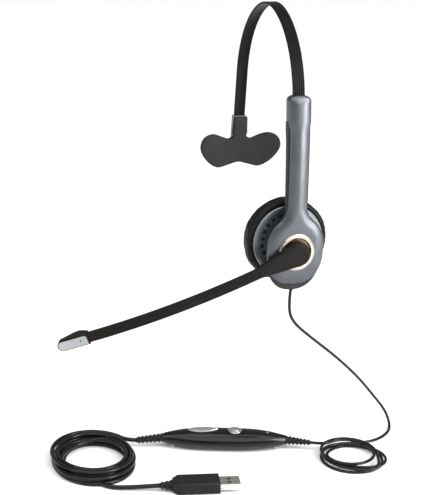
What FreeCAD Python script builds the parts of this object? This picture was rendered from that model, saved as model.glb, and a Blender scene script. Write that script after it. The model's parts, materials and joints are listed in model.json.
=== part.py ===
import FreeCAD, Part

import math
import os

# Office headset with one ear cup, a T-bar on the other side of the head, a microphone boom, and a
# cord with an in-line control box and a USB plug.
# Millimetres. +Z up, the wearer looks along -Y, the ear cup is on the +X side (left ear).
# The origin is the inner face of the headband at its crown.

V = FreeCAD.Vector
Z_AXIS = V(0, 0, 1)
Y_AXIS = V(0, 1, 0)
X_AXIS = V(1, 0, 0)

# Headband: two arcs and a straight leg on each side
BAND_WIDTH = 8.6
BAND_THICK = 1.5
CROWN_RADIUS = 44.0
CROWN_HALF_ANGLE = 18.8
SIDE_RADIUS = 63.7
LEG_TILT = 6.0
TAIL_LENGTH = 48.5          # leg inside the arm
TBAR_LEG_LENGTH = 50.0      # leg down to the T-bar
CORE_WIDTH = 4.4
CORE_THICK = 0.5
BAND_TRAVEL = 26.0
SLOT_GAP = 0.05             # round a piece pushed into its slot

# T-bar, measured down its leg
TBAR_TOP = 35.0
SLEEVE_HALF = 5.4
TBAR_BEND = 110.0           # radius of the pad round the head
TBAR_MIDDLE = -61.0
TBAR_PAD_THICK = 3.6
TBAR_FRAME_THICK = 1.6

# Arm
ARM_HALF = 7.9
NECK_HALF = 6.8
LOBE_HALF = 20.6
LOBE_TOP_Z = -156.0
LOBE_LOW_Z = -162.0
CHIN_RADIUS = 31.0
FLARE_RADIUS = 16.0
SLEEVE_Z = -71.0
ARM_WALL = 1.5
OUTER_FACE = [(62.4, -50), (64.9, -80), (66.2, -108), (66.6, -135), (66.5, -158), (65.8, -174),
              (63.0, -194)]
INNER_FACE = [(51.6, -50), (54.4, -80), (56.6, -108), (58.0, -132), (58.2, -160), (57.6, -178),
              (55.4, -194)]
COVER_DEPTH = 3.2
COVER_CHIN_Z = -185.0
SHELL_CHIN_Z = -189.8
CORD_EXIT_X = 58.8
GROMMET_RADIUS = 2.0

# Boom and its pivot
PIVOT = V(0, 0, -160.7)
RING_RADIUS = 13.0
RING_BORE = 9.7
HUB_RADIUS = 8.3
HUB_LENGTH = 32.0
BOOM_X = 70.3
BOOM_THICK = 4.8
BOOM_HALF = 3.6
BOOM_STRAIGHT = 15.0
BOOM_BEND = 340.0
BOOM_END = 151.0
BOOM_DROP = 22.5
AXLE_RADIUS = 3.0
MIC_LENGTH = 23.0
MIC_HALF = 4.2

# Ear cup
CUP = V(0, -1.2, -156.5)
PLATE_RADIUS = 25.6
PLATE_FACE = 53.4
HOLE_CIRCLE = 18.7
HOLE_RADIUS = 1.55
HOLE_COUNT = 23
CUSHION_RADIUS = 30.0
CUSHION_FRONT = 38.5
KNUCKLE_X = 55.8
PIN_RADIUS = 1.0
PIN_GAP = 0.05
EAR_REACH = 4.3             # from the knuckle's centre to the lugs beside it
EAR_THICK = 2.2
EAR_RADIUS = 2.0

# Floor under the cords, and the pieces on them
FLOOR_Z = -326.0
HEADSET_CORD = 2.2
USB_CORD = 3.2
CONTROL_CENTRE = V(20.35, -32.15, FLOOR_Z)
CONTROL_TURN = 72.3
CONTROL_HALF = 45.6
CONTROL_MID_HEIGHT = 7.2
CONTROL_STATIONS = [(-45.6, 3.7, 3.6), (-38, 6.6, 5.2), (-25, 9.6, 7.0), (-8, 10.8, 7.6),
                    (8, 10.8, 7.6), (25, 9.6, 7.0), (38, 6.6, 5.2), (45.6, 3.7, 3.6)]
CONTROL_WALL = 1.5
PARTING_HEIGHT = 6.0
ROCKER_T = -16.5
ROCKER_LENGTH = 23.0
ROCKER_WIDTH = 7.6
ROCKER_PIN_HEIGHT = 11.0
ROCKER_PIN_BORE = 0.85
ROCKER_PIN_REACH = 5.5         # half its length: its ends stay inside the posts
BUTTON_T = 7.7
BUTTON_RADIUS = 3.5
BEZEL_RADIUS = 5.2
LED_SPOT = (32.0, -1.0)
CONTROL_SCREWS = (-38.5, 38.5)
RELIEF_LENGTH = 20.0
PLUG_BACK = V(74.3, -88.2, FLOOR_Z)
PLUG_TURN = 79.0
PLUG_LENGTH = 33.0
PLUG_HALF_WIDTH = 8.0
PLUG_HEIGHT = 9.0
SHELL_REACH = 14.5
SHELL_WIDTH = 12.0
SHELL_HEIGHT = 4.5
SHELL_SHEET = 0.35

# Coils: centre, outer and inner half axes, height
COIL_HEADSET = (V(62, 52, FLOOR_Z), 25.5, 25.5, 14.5, 14.5, 6.6)
COIL_USB = (V(20, -131, FLOOR_Z), 39.0, 32.0, 21.0, 16.0, 13.0)

# Cord routes
HEADSET_DROP = [(58.8, 0, -189.8), (60.0, -1.6, -201.5), (58.6, 2, -214), (50.5, 20.5, -230.8),
                (39.5, 46, -252.5), (29, 70.5, -276), (20.5, 89.5, -298), (13.5, 104, -315),
                (21, 105.3, -324.9), (33, 97, -324.9), (41.5, 83, -324.9), (42.3, 67.5, -324.9)]
HEADSET_LEAD = [(41.3, 29.5, -320.0), (43.8, 36.5, -321.2), (46.2, 43.5, -323.2)]
USB_LEAD = [(3.2, -95.9, -320.0), (1.8, -103.6, -321.2), (1.6, -111.2, -323.0)]
USB_TAIL = [(53.5, -142, -324.4), (60.5, -131, -324.4), (66.5, -114.5, -323.6), (72.6, -97.0, -321.5)]

PIECES = {}


# ---- helpers ----

def box(x_low, x_high, y_low, y_high, z_low, z_high):
    return Part.makeBox(x_high - x_low, y_high - y_low, z_high - z_low, V(x_low, y_low, z_low))


def rod(start, direction, radius, length):
    return Part.makeCylinder(radius, length, start, direction)


def ring(start, direction, outer, inner, length):
    return rod(start, direction, outer, length).cut(rod(start, direction, inner, length))


def outline(plane, start, *steps):
    """Closed wire in a plane. A step is an end point, a (middle, end) pair for an arc,
    or a list of points for a smooth curve."""
    places = {"x": lambda p: V(0, p[0], p[1]),
              "y": lambda p: V(p[0], 0, p[1]),
              "z": lambda p: V(p[0], p[1], 0)}
    place = places[plane]
    edges = []
    here = start
    for step in steps + (start,):
        if isinstance(step, list):
            curve = Part.BSplineCurve()
            curve.interpolate([place(p) for p in [here] + step])
            edges.append(curve.toShape())
            here = step[-1]
        elif isinstance(step[0], tuple):
            edges.append(Part.Arc(place(here), place(step[0]), place(step[1])).toShape())
            here = step[1]
        elif math.dist(here, step) > 1e-6:
            edges.append(Part.LineSegment(place(here), place(step)).toShape())
            here = step
    return Part.Wire(edges)


def slab(wire, axis, low, high):
    face = Part.Face(wire)
    face.translate(axis * low)
    return face.extrude(axis * (high - low))


def turned(profile, centre):
    """Solid of revolution about the X axis through centre. The profile is (x, radius) points."""
    wire = Part.makePolygon([centre + V(x, 0, r) for x, r in profile + profile[:1]])
    return Part.Face(wire).revolve(centre, X_AXIS, 360)


def moved(shape, origin, axis, degrees):
    """Copy of a shape built about its own origin, turned and then carried to origin."""
    copy = shape.copy()
    copy.Placement = FreeCAD.Placement(origin, FreeCAD.Rotation(axis, degrees)).multiply(copy.Placement)
    return copy


def turned_about(shape, centre, axis, degrees):
    copy = shape.copy()
    copy.rotate(centre, axis, degrees)
    return copy


# ---- headband ----

def leg_point(side, offset, length):
    """Point of the leg's side face, length mm down from where the leg starts."""
    tilt = math.radians(LEG_TILT)
    crown = (0.0, BAND_THICK / 2 - CROWN_RADIUS)
    turn = math.radians(CROWN_HALF_ANGLE)
    centre_x = (CROWN_RADIUS - SIDE_RADIUS) * math.sin(turn)
    centre_z = crown[1] + (CROWN_RADIUS - SIDE_RADIUS) * math.cos(turn)
    reach = SIDE_RADIUS + offset
    x = centre_x + reach * math.cos(tilt) + length * math.sin(tilt)
    z = centre_z + reach * math.sin(tilt) - length * math.cos(tilt)
    return (side * x, z)


def arch_point(offset, angle):
    """Point of the arch at an angle from the crown, on the +X side."""
    turn = math.radians(CROWN_HALF_ANGLE)
    crown_z = BAND_THICK / 2 - CROWN_RADIUS
    if angle <= turn:
        reach = CROWN_RADIUS + offset
        return (reach * math.sin(angle), crown_z + reach * math.cos(angle))
    centre_x = (CROWN_RADIUS - SIDE_RADIUS) * math.sin(turn)
    centre_z = crown_z + (CROWN_RADIUS - SIDE_RADIUS) * math.cos(turn)
    reach = SIDE_RADIUS + offset
    return (centre_x + reach * math.sin(angle), centre_z + reach * math.cos(angle))


def band_blade(thick, width, arm_length, tbar_length):
    turn = math.radians(CROWN_HALF_ANGLE)
    last = math.radians(90 - LEG_TILT)
    outer = thick / 2
    steps = []
    for offset, heading in ((outer, 1), (-outer, -1)):
        right = [arch_point(offset, turn), arch_point(offset, (turn + last) / 2), arch_point(offset, last)]
        left = [(-x, z) for x, z in right]
        top = arch_point(offset, 0)
        if heading > 0:
            steps += [right[2], (right[1], right[0]), (top, left[0]), (left[1], left[2]),
                      leg_point(-1, offset, tbar_length)]
        else:
            steps += [leg_point(-1, offset, tbar_length), left[2], (left[1], left[0]), (top, right[0]),
                      (right[1], right[2]), leg_point(1, offset, arm_length)]
    wire = outline("y", leg_point(1, outer, arm_length), *steps)
    return slab(wire, Y_AXIS, -width / 2, width / 2)


ARM_LEG = V(leg_point(1, 0, 0)[0], 0, leg_point(1, 0, 0)[1])
TBAR_LEG = V(-ARM_LEG.x, 0, ARM_LEG.z)


def on_arm_leg(shape):
    """Carry a shape built about the origin, leg downwards, onto the arm's leg of the headband."""
    return moved(shape, ARM_LEG, Y_AXIS, -LEG_TILT)


def on_tbar_leg(shape):
    return moved(shape, TBAR_LEG, Y_AXIS, LEG_TILT)


def make_headband():
    core = band_blade(CORE_THICK, CORE_WIDTH, TAIL_LENGTH - 8, TBAR_LEG_LENGTH - 8)
    stop = rod(V(-1.7, 0, 4 - TAIL_LENGTH), X_AXIS, 1.2, 3.4)
    stop_head = rod(V(0.85, 0, 4 - TAIL_LENGTH), X_AXIS, 2.0, 0.8)
    stop = on_arm_leg(stop.fuse(stop_head))
    rivet = on_tbar_leg(rod(V(-2.4, 0, 4 - TBAR_LEG_LENGTH), X_AXIS, 1.3, 4.6))
    strip = band_blade(BAND_THICK, BAND_WIDTH, TAIL_LENGTH, TBAR_LEG_LENGTH)
    PIECES["headband_strip"] = strip.cut([core, stop, rivet])
    PIECES["headband_steel_core"] = core
    PIECES["headband_stop"] = stop
    PIECES["tbar_rivet"] = rivet


# ---- T-bar ----

def tbar_outline(shrink_y, shrink_z):
    """Bow tie below a sleeve. The shrink factors draw it in towards the middle of the bow tie."""
    lobe = [(SLEEVE_HALF, -49.8), (8.6, -52.0), (14, -50.2), (22, -47.4), (29.4, -49.6), (32.3, -56.2),
            (30, -63.4), (24, -70.4), (16.5, -74.4), (8, -72.8)]
    lobe = [(y * shrink_y, TBAR_MIDDLE + (z - TBAR_MIDDLE) * shrink_z) for y, z in lobe]
    saddle = (0, TBAR_MIDDLE + (-70.9 - TBAR_MIDDLE) * shrink_z)
    curve = lobe[1:] + [saddle] + [(-y, z) for y, z in reversed(lobe)]
    half = lobe[0][0]
    return outline("x", (-half, -TBAR_TOP), (half, -TBAR_TOP), lobe[0], curve)


def tbar_layer(wire, low, high):
    """Slice of the T-bar between two cylinders that bend round the head."""
    block = slab(wire, X_AXIS, -6, 16)
    centre = V(TBAR_BEND, 0, -90)
    return block.common(ring(centre, Z_AXIS, TBAR_BEND - low, TBAR_BEND - high, 70))


def make_tbar():
    wire = tbar_outline(1, 1)
    inset = tbar_outline(0.965, 0.92)
    half_thick = BAND_THICK / 2 + SLOT_GAP
    half_width = BAND_WIDTH / 2 + SLOT_GAP
    blade = box(-half_thick, half_thick, -half_width, half_width, -TBAR_LEG_LENGTH - SLOT_GAP, -30)
    front = 2.1
    frame = tbar_layer(inset, front - TBAR_FRAME_THICK, front)
    sleeve = box(-2.2, front - 0.4, 0.3 - SLEEVE_HALF, SLEEVE_HALF - 0.3, -TBAR_LEG_LENGTH - 2.5, -TBAR_TOP)
    rivet = rod(V(-2.4, 0, 4 - TBAR_LEG_LENGTH), X_AXIS, 1.3, 4.6)
    PIECES["tbar_frame"] = on_tbar_leg(frame.fuse(sleeve).cut([blade, rivet]).removeSplitter())
    pad = tbar_layer(wire, front, front + TBAR_PAD_THICK).cut(rivet)
    PIECES["tbar_pad"] = on_tbar_leg(pad)


# ---- arm ----

def flare_points(half, grow):
    """Where the neck's side meets the flare, the flare's middle, and where it meets the lobe."""
    centre_y = NECK_HALF + FLARE_RADIUS
    drop = math.sqrt((FLARE_RADIUS + LOBE_HALF) ** 2 - centre_y ** 2)
    centre_z = LOBE_TOP_Z + drop
    radius = FLARE_RADIUS - grow
    end = math.atan2(drop, centre_y)
    points = [(centre_y - radius * math.cos(a), centre_z - radius * math.sin(a)) for a in (0.0, end / 2, end)]
    if half > points[0][0]:
        start = math.acos(min(1.0, (centre_y - half) / radius))
        middle = (start + end) / 2
        points[0] = (half, centre_z - radius * math.sin(start))
        points[1] = (centre_y - radius * math.cos(middle), centre_z - radius * math.sin(middle))
    return points


def mirrored_step(step):
    """A step of an outline, or a point, on the -Y side."""
    if isinstance(step[0], tuple):
        return tuple(mirrored_step(point) for point in step)
    return (-step[0], step[1])


def arm_outline(grow, neck, chin_z, dome_z, top):
    """The arm from outside. grow moves the sides out, neck is the neck's half width, dome_z is the
    height of the rounded upper end, and top gives its side points on the +Y side, downwards."""
    lobe = LOBE_HALF + grow
    flare = flare_points(neck + grow, grow)
    shoulder = math.atan2(flare[2][1] - LOBE_TOP_Z, flare[2][0]) / 2
    chin_radius = CHIN_RADIUS + grow
    chin_rise = chin_z + 1.2
    chin_angle = math.asin((LOBE_LOW_Z - chin_rise) / chin_radius)
    chin_y = LOBE_HALF - CHIN_RADIUS + chin_radius * math.cos(chin_angle)
    chin_mid = (LOBE_HALF - CHIN_RADIUS + chin_radius * math.cos(chin_angle / 2),
                LOBE_LOW_Z - chin_radius * math.sin(chin_angle / 2))
    shoulder_mid = (lobe * math.cos(shoulder), LOBE_TOP_Z + lobe * math.sin(shoulder))
    right = [flare[0], (flare[1], flare[2]), (shoulder_mid, (lobe, LOBE_TOP_Z)), (lobe, LOBE_LOW_Z),
             (chin_mid, (chin_y, chin_rise)), ((0, chin_z), (-chin_y, chin_rise))]
    back_up = [(chin_mid, (lobe, LOBE_LOW_Z)), (lobe, LOBE_TOP_Z), (shoulder_mid, flare[2]),
               (flare[1], flare[0])]
    left = [mirrored_step(step) for step in back_up]
    left_top = [mirrored_step(point) for point in reversed(top)]
    return outline("x", left_top[-1], ((0, dome_z), top[0]), *(top[1:] + right + left + left_top[:-1]))


def side_slice(low, low_shift, high, high_shift, z_top, z_bottom):
    """Block between two side curves of the arm, cut level at both ends."""
    down = [(x + low_shift, z) for x, z in low]
    up = [(x + high_shift, z) for x, z in reversed(high)]
    block = slab(outline("y", down[0], down[1:], up[0], up[1:]), Y_AXIS, -30, 30)
    return block.common(box(30, 90, -30, 30, z_bottom, z_top))


def cover_outline(inset):
    top = [(ARM_HALF - inset, -56.6 - inset), (ARM_HALF - inset, SLEEVE_Z), (NECK_HALF - inset, -79.0)]
    return arm_outline(-inset, NECK_HALF, COVER_CHIN_Z + inset, -53.6 - inset, top)


def shell_outline(inset):
    top = [(ARM_HALF - 1.6 - inset, -73.0 - inset), (ARM_HALF - inset, -79.0)]
    return arm_outline(-0.7 - inset, ARM_HALF + 0.7, SHELL_CHIN_Z + inset, -72.0 - inset, top)


def swivel_ears(axis, reach):
    """Two lugs that hold a pin through the knuckle's centre, on both sides of it along axis."""
    centre = V(KNUCKLE_X, CUP.y, CUP.z)
    across = EAR_RADIUS
    ears = []
    for side in (-1, 1):
        start = centre + axis * (side * EAR_REACH)
        lug = rod(start, axis * side, EAR_RADIUS, EAR_THICK)
        far_end = -EAR_REACH if side < 0 else EAR_REACH + EAR_THICK
        if axis == Z_AXIS:
            web = box(centre.x, reach, centre.y - across, centre.y + across, -EAR_THICK, 0)
            web.translate(V(0, 0, centre.z + far_end))
        else:
            web = box(reach, centre.x, -EAR_THICK, 0, centre.z - across, centre.z + across)
            web.translate(V(0, centre.y + far_end, 0))
        ears.append(lug.fuse(web))
    pin = rod(centre - axis * 8, axis, PIN_RADIUS, 16)
    return [ear.cut(pin) for ear in ears]


def screw(spot, length, head, shank):
    """Screw driven along +X from a spot on the inner side."""
    return rod(spot, X_AXIS, head, 1.4).fuse(rod(spot, X_AXIS, shank, length))


def make_arm():
    outer = slab(cover_outline(0), X_AXIS, 40, 80)
    lid = outer.common(side_slice(OUTER_FACE, -COVER_DEPTH, OUTER_FACE, 0, -50, -192))
    sleeve = outer.common(side_slice(INNER_FACE, 0, OUTER_FACE, 0, -50, SLEEVE_Z))
    hollow = slab(cover_outline(ARM_WALL), X_AXIS, 40, 80)
    lid_room = hollow.common(side_slice(OUTER_FACE, -9, OUTER_FACE, -ARM_WALL, SLEEVE_Z, -192))
    sleeve_room = hollow.common(side_slice(INNER_FACE, ARM_WALL, OUTER_FACE, -ARM_WALL, -50, SLEEVE_Z - 2))
    slot = on_arm_leg(box(-1.15, 1.15, -4.7, 4.7, -4, 8))
    ring_seat = rod(V(55, 0, PIVOT.z), X_AXIS, RING_RADIUS, 20)
    boss_spots = [V(0, 0, -116), V(0, 0, -178.5)]
    bosses = []
    for spot in boss_spots:
        boss = rod(V(61.0, 0, spot.z), X_AXIS, 2.6, 5).common(outer)
        bosses.append(boss.common(side_slice(OUTER_FACE, -9, OUTER_FACE, -ARM_WALL + 0.2, -50, -192)))
    screws = [screw(V(57.4, 0, spot.z), 6.6, 1.9, 0.95) for spot in boss_spots]
    cover = lid.fuse(sleeve).cut([lid_room, sleeve_room, slot])
    PIECES["arm_outer_cover"] = cover.fuse(bosses).cut([ring_seat] + screws).removeSplitter()

    body = slab(shell_outline(0), X_AXIS, 40, 80)
    tub = body.common(side_slice(INNER_FACE, 0, OUTER_FACE, -COVER_DEPTH, -72, -192))
    room = slab(shell_outline(ARM_WALL), X_AXIS, 40, 80)
    tub_room = room.common(side_slice(INNER_FACE, ARM_WALL, OUTER_FACE, 0, -72, -192))
    yoke_well = rod(V(50, CUP.y, CUP.z), X_AXIS, 7.4, 8.9)
    heads = [rod(V(50, 0, spot.z), X_AXIS, 1.9, 7.6) for spot in boss_spots]
    cord_hole = rod(V(CORD_EXIT_X, 0, -195), Z_AXIS, GROMMET_RADIUS, 14)
    band_slot = on_arm_leg(box(-2.2, 2.2, -4.7, 4.7, -25, -10))
    shell = tub.cut([tub_room, yoke_well, cord_hole, band_slot] + heads + screws)
    ears = swivel_ears(Z_AXIS, 59.2)
    PIECES["arm_inner_shell"] = shell.fuse(ears).removeSplitter()
    PIECES["arm_screws"] = Part.makeCompound(screws)


def make_arm_inside():
    guide = box(-2.8, 2.8, -5.9, 5.9, -15, -3.2).cut(box(-1.05, 1.05, -4.6, 4.6, -16, 0))
    pocket = box(1.0, 1.9, -2.0, 2.0, -14, -4.5)
    PIECES["headband_guide"] = on_arm_leg(guide.cut(pocket))
    leaf = box(1.1, 1.4, -1.6, 1.6, -13.5, -5)
    PIECES["click_spring"] = on_arm_leg(leaf)
    face = 67.4
    rim = turned([(63.6, RING_RADIUS - 0.05), (66.9, RING_RADIUS - 0.05), (face, RING_RADIUS - 0.9),
                  (face, RING_BORE + 0.8), (66.8, RING_BORE), (63.6, RING_BORE)], PIVOT)
    PIECES["pivot_ring"] = rim
    bush = turned([(60.9, 5.2), (66.6, 5.2), (66.6, RING_BORE - 0.05), (63.6, RING_BORE - 0.05),
                   (63.6, RING_RADIUS - 0.1), (62.4, RING_RADIUS - 0.1), (62.4, 6.6), (60.9, 6.6)], PIVOT)
    bore = rod(PIVOT + V(60, 0, 0), X_AXIS, AXLE_RADIUS + 0.05, 8)
    floor = rod(PIVOT + V(63.0, 0, 0), X_AXIS, 5.3, 2.6)
    PIECES["boom_bushing"] = bush.fuse(floor).cut(bore).removeSplitter()
    PIECES["friction_washer"] = ring(PIVOT + V(62.4, 0, 0), X_AXIS, 5.1, AXLE_RADIUS + 0.2, 0.6)
    PIECES["cord_grommet"] = rod(V(CORD_EXIT_X, 0, SHELL_CHIN_Z), Z_AXIS, GROMMET_RADIUS, 5.0)
    PIECES["junction_board"] = box(60.2, 61.2, -6, 6, -145, -133)


# ---- boom ----

def boom_point(reach, offset):
    """Point of the boom seen along its edge: reach forward of the pivot, offset outwards."""
    angle = math.asin(max(0.0, reach - BOOM_STRAIGHT) / BOOM_BEND)
    radius = BOOM_BEND + offset
    return (BOOM_X - BOOM_BEND + radius * math.cos(angle), -(BOOM_STRAIGHT + radius * math.sin(angle)))


def boom_beam(start, end, low, high, half):
    """Stretch of the bent boom, level and pointing forward from the pivot."""
    middle = (start + end) / 2
    wire = outline("z", boom_point(start, low), boom_point(start, high),
                   (boom_point(middle, high), boom_point(end, high)), boom_point(end, low),
                   (boom_point(middle, low), boom_point(start, low)))
    return slab(wire, Z_AXIS, PIVOT.z - half, PIVOT.z + half)


def dropped(shape):
    """Turn a level boom piece down to where the boom rests."""
    return turned_about(shape, PIVOT, X_AXIS, BOOM_DROP)


def long_edges(shape, least):
    return [edge for edge in shape.Edges if edge.Length > least]


def hub_outline(radius, half):
    """Disc with two tangent sides that close in to the boom."""
    reach = math.hypot(HUB_LENGTH, half)
    lean = math.atan2(half, HUB_LENGTH)
    touch = math.acos(radius / reach) + lean
    y = -radius * math.cos(touch)
    z = radius * math.sin(touch)
    base = PIVOT.z
    return outline("x", (-HUB_LENGTH, base + half), (y, base + z), ((radius, base), (y, base - z)),
                   (-HUB_LENGTH, base - half))


def make_boom():
    inner = BOOM_X - BOOM_THICK / 2
    hub = slab(hub_outline(HUB_RADIUS, BOOM_HALF), X_AXIS, inner, BOOM_X + 2.9)
    face_edges = [e for e in hub.Edges if e.BoundBox.XMin > BOOM_X + 2.8]
    hub = hub.makeFillet(1.6, [e for e in face_edges if e.CenterOfMass.y > 0.5 - HUB_LENGTH])
    core = boom_beam(10, BOOM_END - 8, -0.7, 0.7, 0.7)
    axle = rod(PIVOT + V(60.0, 0, 0), X_AXIS, AXLE_RADIUS, inner + 2.6 - 60.0)
    clip_groove = ring(PIVOT + V(61.3, 0, 0), X_AXIS, 4, 2.2, 0.8)
    PIECES["boom_axle"] = axle.cut(clip_groove)
    PIECES["axle_clip"] = ring(PIVOT + V(61.3, 0, 0), X_AXIS, 4.8, 2.2, 0.7)
    boss = rod(PIVOT + V(66.9, 0, 0), X_AXIS, 7.8, inner - 66.9)
    PIECES["boom_hub"] = dropped(hub.fuse(boss).cut([core, axle]).removeSplitter())
    beam = boom_beam(HUB_LENGTH, BOOM_END, -BOOM_THICK / 2, BOOM_THICK / 2, BOOM_HALF)
    beam = beam.makeFillet(1.5, long_edges(beam, 60)).cut([core, hub])
    PIECES["boom_arm"] = dropped(beam)
    PIECES["boom_core_wire"] = dropped(core)
    make_microphone()


def on_boom_end(shape):
    """Carry a piece built forward of the origin along -Y onto the end of the boom."""
    x, y = boom_point(BOOM_END, 0)
    turn = math.degrees(math.asin((BOOM_END - BOOM_STRAIGHT) / BOOM_BEND))
    return dropped(moved(shape, V(x, y, PIVOT.z), Z_AXIS, -turn))


def make_microphone():
    tip = MIC_LENGTH - MIC_HALF
    side = outline("x", (0, -MIC_HALF), (0, MIC_HALF), (-5, MIC_HALF + 1.6), (-9, MIC_HALF + 1.4),
                   (-tip, MIC_HALF - 0.6), ((-MIC_LENGTH, 0), (-tip, -MIC_HALF)))
    body = slab(side, X_AXIS, -3.1, 3.1)
    side_edges = [e for e in body.Edges if e.BoundBox.XLength < 0.1]
    body = body.makeFillet(0.9, [e for e in side_edges if e.CenterOfMass.y < -0.5])
    plate_side = outline("x", (-0.8, -3.3), (-0.8, 2.2), ((-2.4, 3.3), (-3.2, 3.3)), (-tip, 3.3),
                         ((1.0 - MIC_LENGTH, 0), (-tip, -3.3)))
    plate = slab(plate_side, X_AXIS, 2.4, 3.4)
    port = rod(V(0, -5.6, 0.4), X_AXIS, 0.55, 6)
    capsule = rod(V(-1.3, -13.5, 0), X_AXIS, 3.0, 2.5)
    gasket = ring(V(1.2, -13.5, 0), X_AXIS, 3.0, 1.2, 0.9)
    room = rod(V(-1.4, -13.5, 0), X_AXIS, 3.1, 3.6)
    sound_slot = box(-4, -1.2, -14.6, -12.4, -2.4, 2.4)
    core_room = box(-0.75, 0.75, -2, 1, -0.75, 0.75)
    PIECES["mic_housing"] = on_boom_end(body.cut([plate, room, port, sound_slot, core_room]))
    PIECES["mic_plate"] = on_boom_end(plate.cut(port))
    PIECES["mic_capsule"] = on_boom_end(capsule)
    PIECES["mic_gasket"] = on_boom_end(gasket)


# ---- ear cup ----

def make_knuckle():
    centre = V(KNUCKLE_X, CUP.y, CUP.z)
    block = box(-2.0, 2.0, -3.9, 3.9, -3.9, 3.9)
    block = block.makeFillet(0.8, block.Edges)
    upright = rod(V(0, 0, -6.4), Z_AXIS, PIN_RADIUS - PIN_GAP, 12.8)
    level = rod(V(0, -6.4, 0), Y_AXIS, PIN_RADIUS - PIN_GAP, 12.8)
    bores = [rod(V(0, 0, -6.4), Z_AXIS, PIN_RADIUS, 12.8), rod(V(0, -6.4, 0), Y_AXIS, PIN_RADIUS, 12.8)]
    block = block.cut(bores)
    halves = [upright.common(box(-2, 2, -2, 2, 1.2, 7)), upright.common(box(-2, 2, -2, 2, -7, -1.2))]
    PIECES["swivel_knuckle"] = moved(block, centre, Z_AXIS, 0)
    PIECES["knuckle_upright_pins"] = moved(Part.makeCompound(halves), centre, Z_AXIS, 0)
    PIECES["knuckle_level_pin"] = moved(level, centre, Z_AXIS, 0)


def make_ear_cup():
    face = PLATE_FACE
    rim = PLATE_RADIUS
    band = face - 1.0
    plate = turned([(49.6, rim), (face - 0.5, rim), (face, rim - 0.5), (face, 22.7), (band, 22.2),
                    (band, 14.6), (band - 0.5, 14.0), (band - 0.5, 0), (50.4, 0), (50.4, 13.4), (50.9, 14.0),
                    (50.9, 24.1), (49.6, 24.1)], CUP)
    holes = []
    for index in range(HOLE_COUNT):
        angle = 2 * math.pi * index / HOLE_COUNT
        spot = CUP + V(45, HOLE_CIRCLE * math.cos(angle), HOLE_CIRCLE * math.sin(angle))
        holes.append(rod(spot, X_AXIS, HOLE_RADIUS, 12))
    plate = plate.cut(holes).fuse(swivel_ears(Y_AXIS, 51.4))
    PIECES["ear_plate"] = plate.removeSplitter()
    PIECES["rear_mesh"] = ring(CUP + V(50.5, 0, 0), X_AXIS, 23.0, 14.6, 0.35)
    PIECES["speaker_basket"] = turned([(45.6, 20.3), (46.6, 20.3), (46.6, 19.4), (50.3, 19.4), (50.3, 0),
                                       (49.3, 0), (49.3, 18.2), (45.6, 18.2)], CUP)
    PIECES["speaker_magnet"] = rod(CUP + V(47.2, 0, 0), X_AXIS, 8.0, 2.1)
    PIECES["speaker_diaphragm"] = turned([(45.8, 18.0), (46.1, 18.0), (46.8, 9.0), (46.2, 0), (45.9, 0),
                                          (46.5, 9.0)], CUP)
    grille = turned([(44.5, 20.3), (45.5, 20.3), (45.5, 0), (44.5, 0)], CUP)
    slots = [rod(CUP + V(44, 0, 0), X_AXIS, 1.1, 2)]
    for count, radius in ((8, 5.5), (14, 10.5), (20, 15.5)):
        for index in range(count):
            angle = 2 * math.pi * index / count
            slots.append(rod(CUP + V(44, radius * math.cos(angle), radius * math.sin(angle)), X_AXIS, 1.1, 2))
    PIECES["speaker_grille"] = grille.cut(slots)
    PIECES["ear_foam"] = rod(CUP + V(42.9, 0, 0), X_AXIS, 19.5, 1.5)
    PIECES["cushion_ring"] = ring(CUP + V(48.4, 0, 0), X_AXIS, 26.0, 20.8, 1.1)
    PIECES["ear_cushion"] = make_cushion()


def make_cushion():
    def at(x, r):
        return CUP + V(x, 0, r)
    front = CUSHION_FRONT
    edge = [Part.LineSegment(at(48.2, 26.4), at(48.2, 20.9)),
            Part.LineSegment(at(48.2, 20.9), at(42.7, 20.9)),
            Part.LineSegment(at(42.7, 20.9), at(42.7, 15.0)),
            Part.Arc(at(42.7, 15.0), at(39.6, 16.6), at(front, 20.0)),
            Part.LineSegment(at(front, 20.0), at(front, 23.6)),
            Part.Arc(at(front, 23.6), at(40.4, 28.1), at(45.0, CUSHION_RADIUS)),
            Part.Arc(at(45.0, CUSHION_RADIUS), at(50.4, 29.2), at(52.2, 26.4)),
            Part.LineSegment(at(52.2, 26.4), at(48.2, 26.4))]
    wire = Part.Wire([part.toShape() for part in edge])
    return Part.Face(wire).revolve(CUP, X_AXIS, 360)


# ---- in-line control ----

def control_body(grow):
    """Spindle through oval stations, flat underneath, lying along X with its base at zero."""
    wires = []
    for t, half_width, half_height in CONTROL_STATIONS:
        reach = t + math.copysign(grow, t) if abs(t) > CONTROL_HALF - 1 else t
        major = half_width + grow
        minor = half_height + grow
        oval = Part.Ellipse(V(0, 0, 0), major, minor).toShape()
        oval = moved(oval, V(0, 0, 0), V(1, 1, 1), 120)
        oval.translate(V(reach, 0, CONTROL_MID_HEIGHT))
        wires.append(Part.Wire(oval))
    spindle = Part.makeLoft(wires, True)
    return spindle.common(box(-60, 60, -20, 20, -min(grow, 0), 30))


def lens(length, width):
    half = length / 2
    return outline("z", (-half, 0), ((0, width / 2), (half, 0)), ((0, -width / 2), (-half, 0)))


def on_control(shape):
    return moved(shape, CONTROL_CENTRE, Z_AXIS, CONTROL_TURN)


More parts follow.
